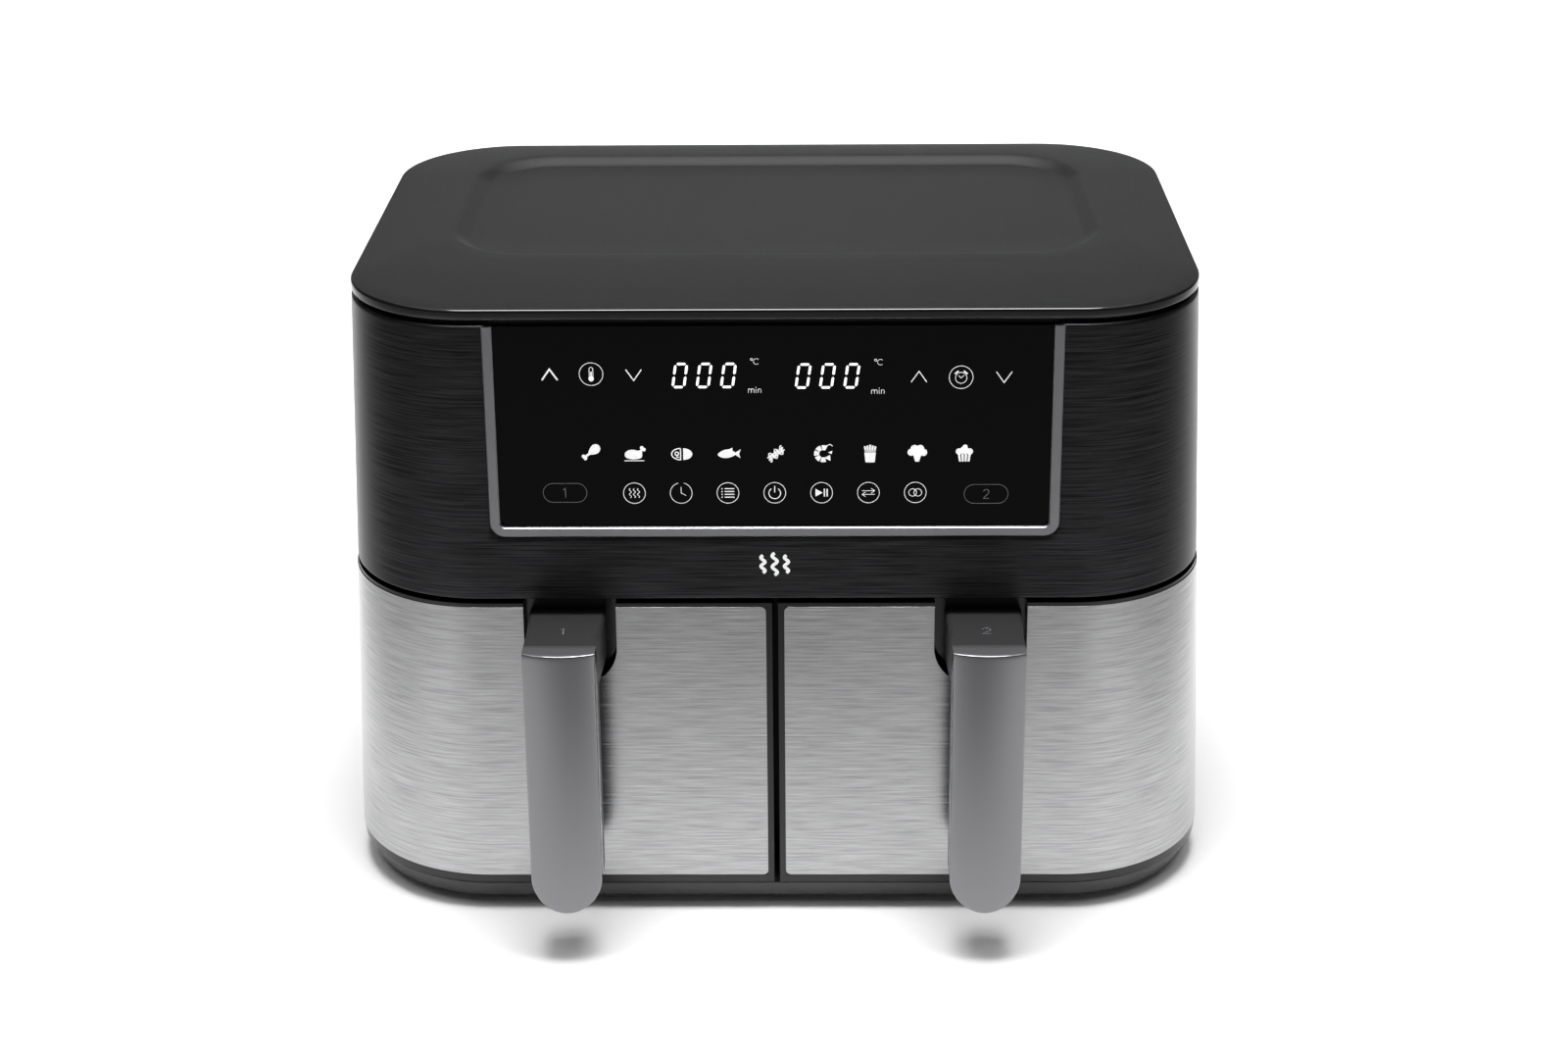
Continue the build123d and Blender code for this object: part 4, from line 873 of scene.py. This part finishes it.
# %% [markdown]
# ## Lit digits
# Each display is a row of three seven-segment digits that lean to the right. A zero lights six of
# the seven bars, and every bar is a stroke with pointed ends, a little shorter than the gap
# between its corners.

# %% Digits
digit_width, digit_height, digit_lean = 5.2, 11.0, 0.14


def bar(start, end, width=1.15):
    """A lit bar: a long hexagon with pointed ends, drawn in from both corners."""
    start, end = np.array(start, float), np.array(end, float)
    along = (end - start) / np.linalg.norm(end - start)
    side = np.array([-along[1], along[0]]) * width / 2
    a, b = start + along * 0.45, end - along * 0.45
    tip = along * width * 0.45
    return polygon([a, a + tip + side, b - tip + side, b, b - tip - side, a + tip - side])


def zero():
    """The six lit bars of a zero, leaning: x grows with height."""
    w, h = digit_width / 2, digit_height / 2
    corners = [(-w, -h), (w, -h), (w, 0), (w, h), (-w, h), (-w, 0)]
    bars = [bar(corners[k], corners[(k + 1) % 6]) for k in range(6)]
    return [(outline + outline[:, 1:] * [digit_lean, 0], face) for outline, face in bars]


celsius = [stroke(arc(-1.5, 1.0, 0.5, steps=12), 0.25)]
celsius += [stroke(arc(0.7, 0, 1.35, 45, 315, 16), fine)]
arch = [(0, 0.4), (0.45, 0.95), (0.9, 0.95), (1.3, 0.5), (1.3, -1)]
small_n = [stroke([(0, -1), (0, 1)], fine), stroke(arch, fine)]
minutes = placed(small_n, -2.9, 0) + placed(small_n, -1.6, 0)
minutes += [stroke([(0.6, -1), (0.6, 1)], fine), disc(0.6, 1.7, 0.2)]
minutes += placed(small_n, 1.6, 0)
print("a zero lights", len(zero()), "bars of", digit_width, "by", digit_height / 2, "mm")

# %% The printed panel
key_pitch = 21.7
white_marks = placed(chevron(0.75), -102.1, 275.8) + placed(ringed(thermometer, 5.4), -83.1, 276.0)
white_marks += placed(chevron(0.5), -63.7, 275.5, 180) + placed(chevron(0.42), 66.5, 274.3)
white_marks += placed(ringed(alarm_clock, 5.4), 85.7, 274.0)
white_marks += placed(chevron(0.42), 105.3, 274.0, 180)
white_marks += placed(celsius, -8.3, 281.8) + placed(celsius, 48.2, 281.3)
white_marks += placed(minutes, -8.5, 267.8) + placed(minutes, 47.8, 267.2)
for k, food in enumerate(foods):
    white_marks += placed(food, (k - 4) * key_pitch + 1.0, 237.3, 0, 1.02)
for k, symbol in enumerate([keep_warm, delay, menu, power, play, match_time, linked]):
    start, end = (105, 435) if symbol is delay else (0, 360)
    key = ringed(symbol, 5.05, thin, start, end)
    white_marks += placed(key, (k - 3) * key_pitch + 0.3, 218.2)
grey_marks = placed(pill + one, -97.0, 218.4) + placed(pill + two, 98.2, 217.4)
lit_marks = []
for middle, height in ((-31.5, 275.2), (24.8, 274.8)):
    for k in (-1, 0, 1):
        lit_marks += placed(zero(), middle + 11.1 * k, height)

# The white print glows a little. On the panel's glass it is backlit, but the fascia emblem uses it
# too, and there the glow is painted light.
white_print, _, print_shader = new_material("white_backlit_print_and_painted_glow", "#efefef", Roughness=0.5)
print_shader.inputs["Emission Color"].default_value = linear("#ffffff")
print_shader.inputs["Emission Strength"].default_value = 0.4
grey_print, _, _ = new_material("grey_screen_print", "#848484", Roughness=0.5)
lit_display, _, lit_shader = new_material("white_lit_segments", "#ffffff", Roughness=0.4)
lit_shader.inputs["Emission Color"].default_value = linear("#ffffff")
lit_shader.inputs["Emission Strength"].default_value = 0.9


def printed(name, shapes, material, out):
    """Flat shapes in millimetres laid on the leaning front, out of it by out metres."""
    points, faces = join_parts(shapes)
    piece = make_mesh(name, on_face(points[:, 0] * mm, points[:, 1] * mm, out), faces)
    return finish_piece(piece, "housing", material, "panel_glass")


glass_front = -0.74 * mm
printed("panel_symbols", white_marks, white_print, glass_front)
printed("panel_drawer_keys", grey_marks, grey_print, glass_front)
printed("display_digits", lit_marks, lit_display, glass_front)

# %% [markdown]
# ## Marks on the fascia and the handles
# Under the panel stands a plain emblem of three warm-air waves. The top of each handle carries
# its drawer's number, a low raised line. It is much lighter than the handle so that it shows.
# Solidify gives the flat strokes their height.

# %% Emblem and drawer numbers
emblem = [wave(x, 11.0 - 2.2 * abs(x) / 5.5, 1.5) for x in (-5.5, 0, 5.5)]
# The emblem glows with the white print's emission, though no light stands behind the fascia: a
# painted glow.
printed("fascia_emblem", placed(emblem, 0, 183.0), white_print, 0.06 * mm)
raised_abs = moulded("raised_number_abs", "#68686a", "#6e6e70", 0.8 * mm, 0.3, 0.36)
number_out, number_size = 19 * mm, 1.5
for side, sign, number in (("left", -1, one), ("right", 1, two)):
    points, faces = join_parts(placed(number, 0, 0, size=number_size))
    across, out = sign * handle_x + points[:, 0] * mm, number_out - points[:, 1] * mm
    mark = make_mesh(f"{side}_drawer_number", on_face(across, handle_high + 0.02 * mm, out), faces)
    relief = mark.modifiers.new("relief", "SOLIDIFY")
    relief.thickness, relief.offset = 0.2 * mm, 1
    finish_piece(mark, f"{side}_drawer", raised_abs, "grip_plastic")

# %% [markdown]
# ## Light, floor and camera
# A pale floor runs up into a pale wall. Polished and brushed metal shows what stands round it, so
# the floor's brightness draws the gradients on the steel: a softbox close above the object
# lights the floor near it most, two small lights in front give the bright bands where the skins
# begin to turn, and wide lights further off keep the rest of the floor and the wall pale.

# %% Stage
floor_paint, _, _ = new_material("pale_matte_paper", "#f7f7f7", Roughness=0.9)
sweep_radius, wall_y, wall_top = 0.9, 4.2, 3.5
floor_front, floor_half = -3.5, 4.5
turn = np.linspace(0, math.pi / 2, 24)
sweep_y = wall_y - sweep_radius + sweep_radius * np.sin(turn)
profile_y = np.concatenate([[floor_front], sweep_y, [wall_y]])
profile_z = np.concatenate([[0.0], sweep_radius - sweep_radius * np.cos(turn), [wall_top]])
across, along = np.meshgrid([-floor_half, floor_half], profile_y)
sweep = np.stack([across, along, np.broadcast_to(profile_z[:, None], across.shape)], axis=-1)
floor = make_mesh("floor", sweep, grid_faces(len(profile_y), 2).reshape(-1, 4).tolist())
floor.data.materials.append(floor_paint)
print("floor and wall:", len(profile_y), "rows")


# %% Lights
def soft_light(name, place, aim, size, power, spread=180):
    """A rectangular area light at place, turned towards aim, its beam within spread degrees."""
    data = bpy.data.lights.new(name, "AREA")
    data.shape, data.size, data.size_y, data.energy = "RECTANGLE", size[0], size[1], power
    data.spread = math.radians(spread)
    light = bpy.data.objects.new(name, data)
    bpy.context.scene.collection.objects.link(light)
    light.location = place
    light.rotation_euler = (Vector(aim) - Vector(place)).to_track_quat("-Z", "Y").to_euler()
    return light


soft_light("overhead_softbox", (0, -0.12, 0.95), (0, 0.1, 0), (0.62, 0.4), 2.6, 66)
soft_light("room_fill", (0, -0.2, 2.4), (0, -0.2, 0), (3.4, 2.8), 21, 150)
soft_light("floor_behind", (0, 2.1, 1.5), (0, 2.1, 0), (3.2, 1.6), 40, 100)
soft_light("floor_middle", (0, 0.9, 1.2), (0, 0.9, 0), (2.6, 0.8), 8, 90)
for side in (-1, 1):
    soft_light("front_pool", (side * 0.5, -0.46, 0.8), (side * 0.36, -0.4, 0), (0.3, 0.3), 0.3, 44)

world = bpy.data.worlds.new("studio")
world.use_nodes = True
world.node_tree.nodes["Background"].inputs["Color"].default_value = linear("#ffffff")
world.node_tree.nodes["Background"].inputs["Strength"].default_value = 0.11
bpy.context.scene.world = world
bpy.context.scene.view_settings.view_transform = "Standard"
print(len(bpy.data.lights), "lights")

# %% Camera
lens, look_down, look_right, roll = 60.64, 0.4058, -0.0132, -0.0076
level_reach = math.cos(look_down)
forward = Vector(
    (math.sin(look_right) * level_reach, math.cos(look_right) * level_reach, -math.sin(look_down))
)
level_right = Vector((math.cos(look_right), -math.sin(look_right), 0))
level_down = forward.cross(level_right)
right = level_right * math.cos(roll) - level_down * math.sin(roll)
up = -(level_right * math.sin(roll) + level_down * math.cos(roll))
camera_data = bpy.data.cameras.new("camera")
camera_data.lens = lens
camera = bpy.data.objects.new("camera", camera_data)
bpy.context.scene.collection.objects.link(camera)
turned = Matrix((right, up, -forward)).transposed().to_4x4()
camera.matrix_world = Matrix.Translation((0.0194, -1.2519, 0.6884)) @ turned
bpy.context.scene.camera = camera
print("camera looks along", [round(v, 3) for v in forward])
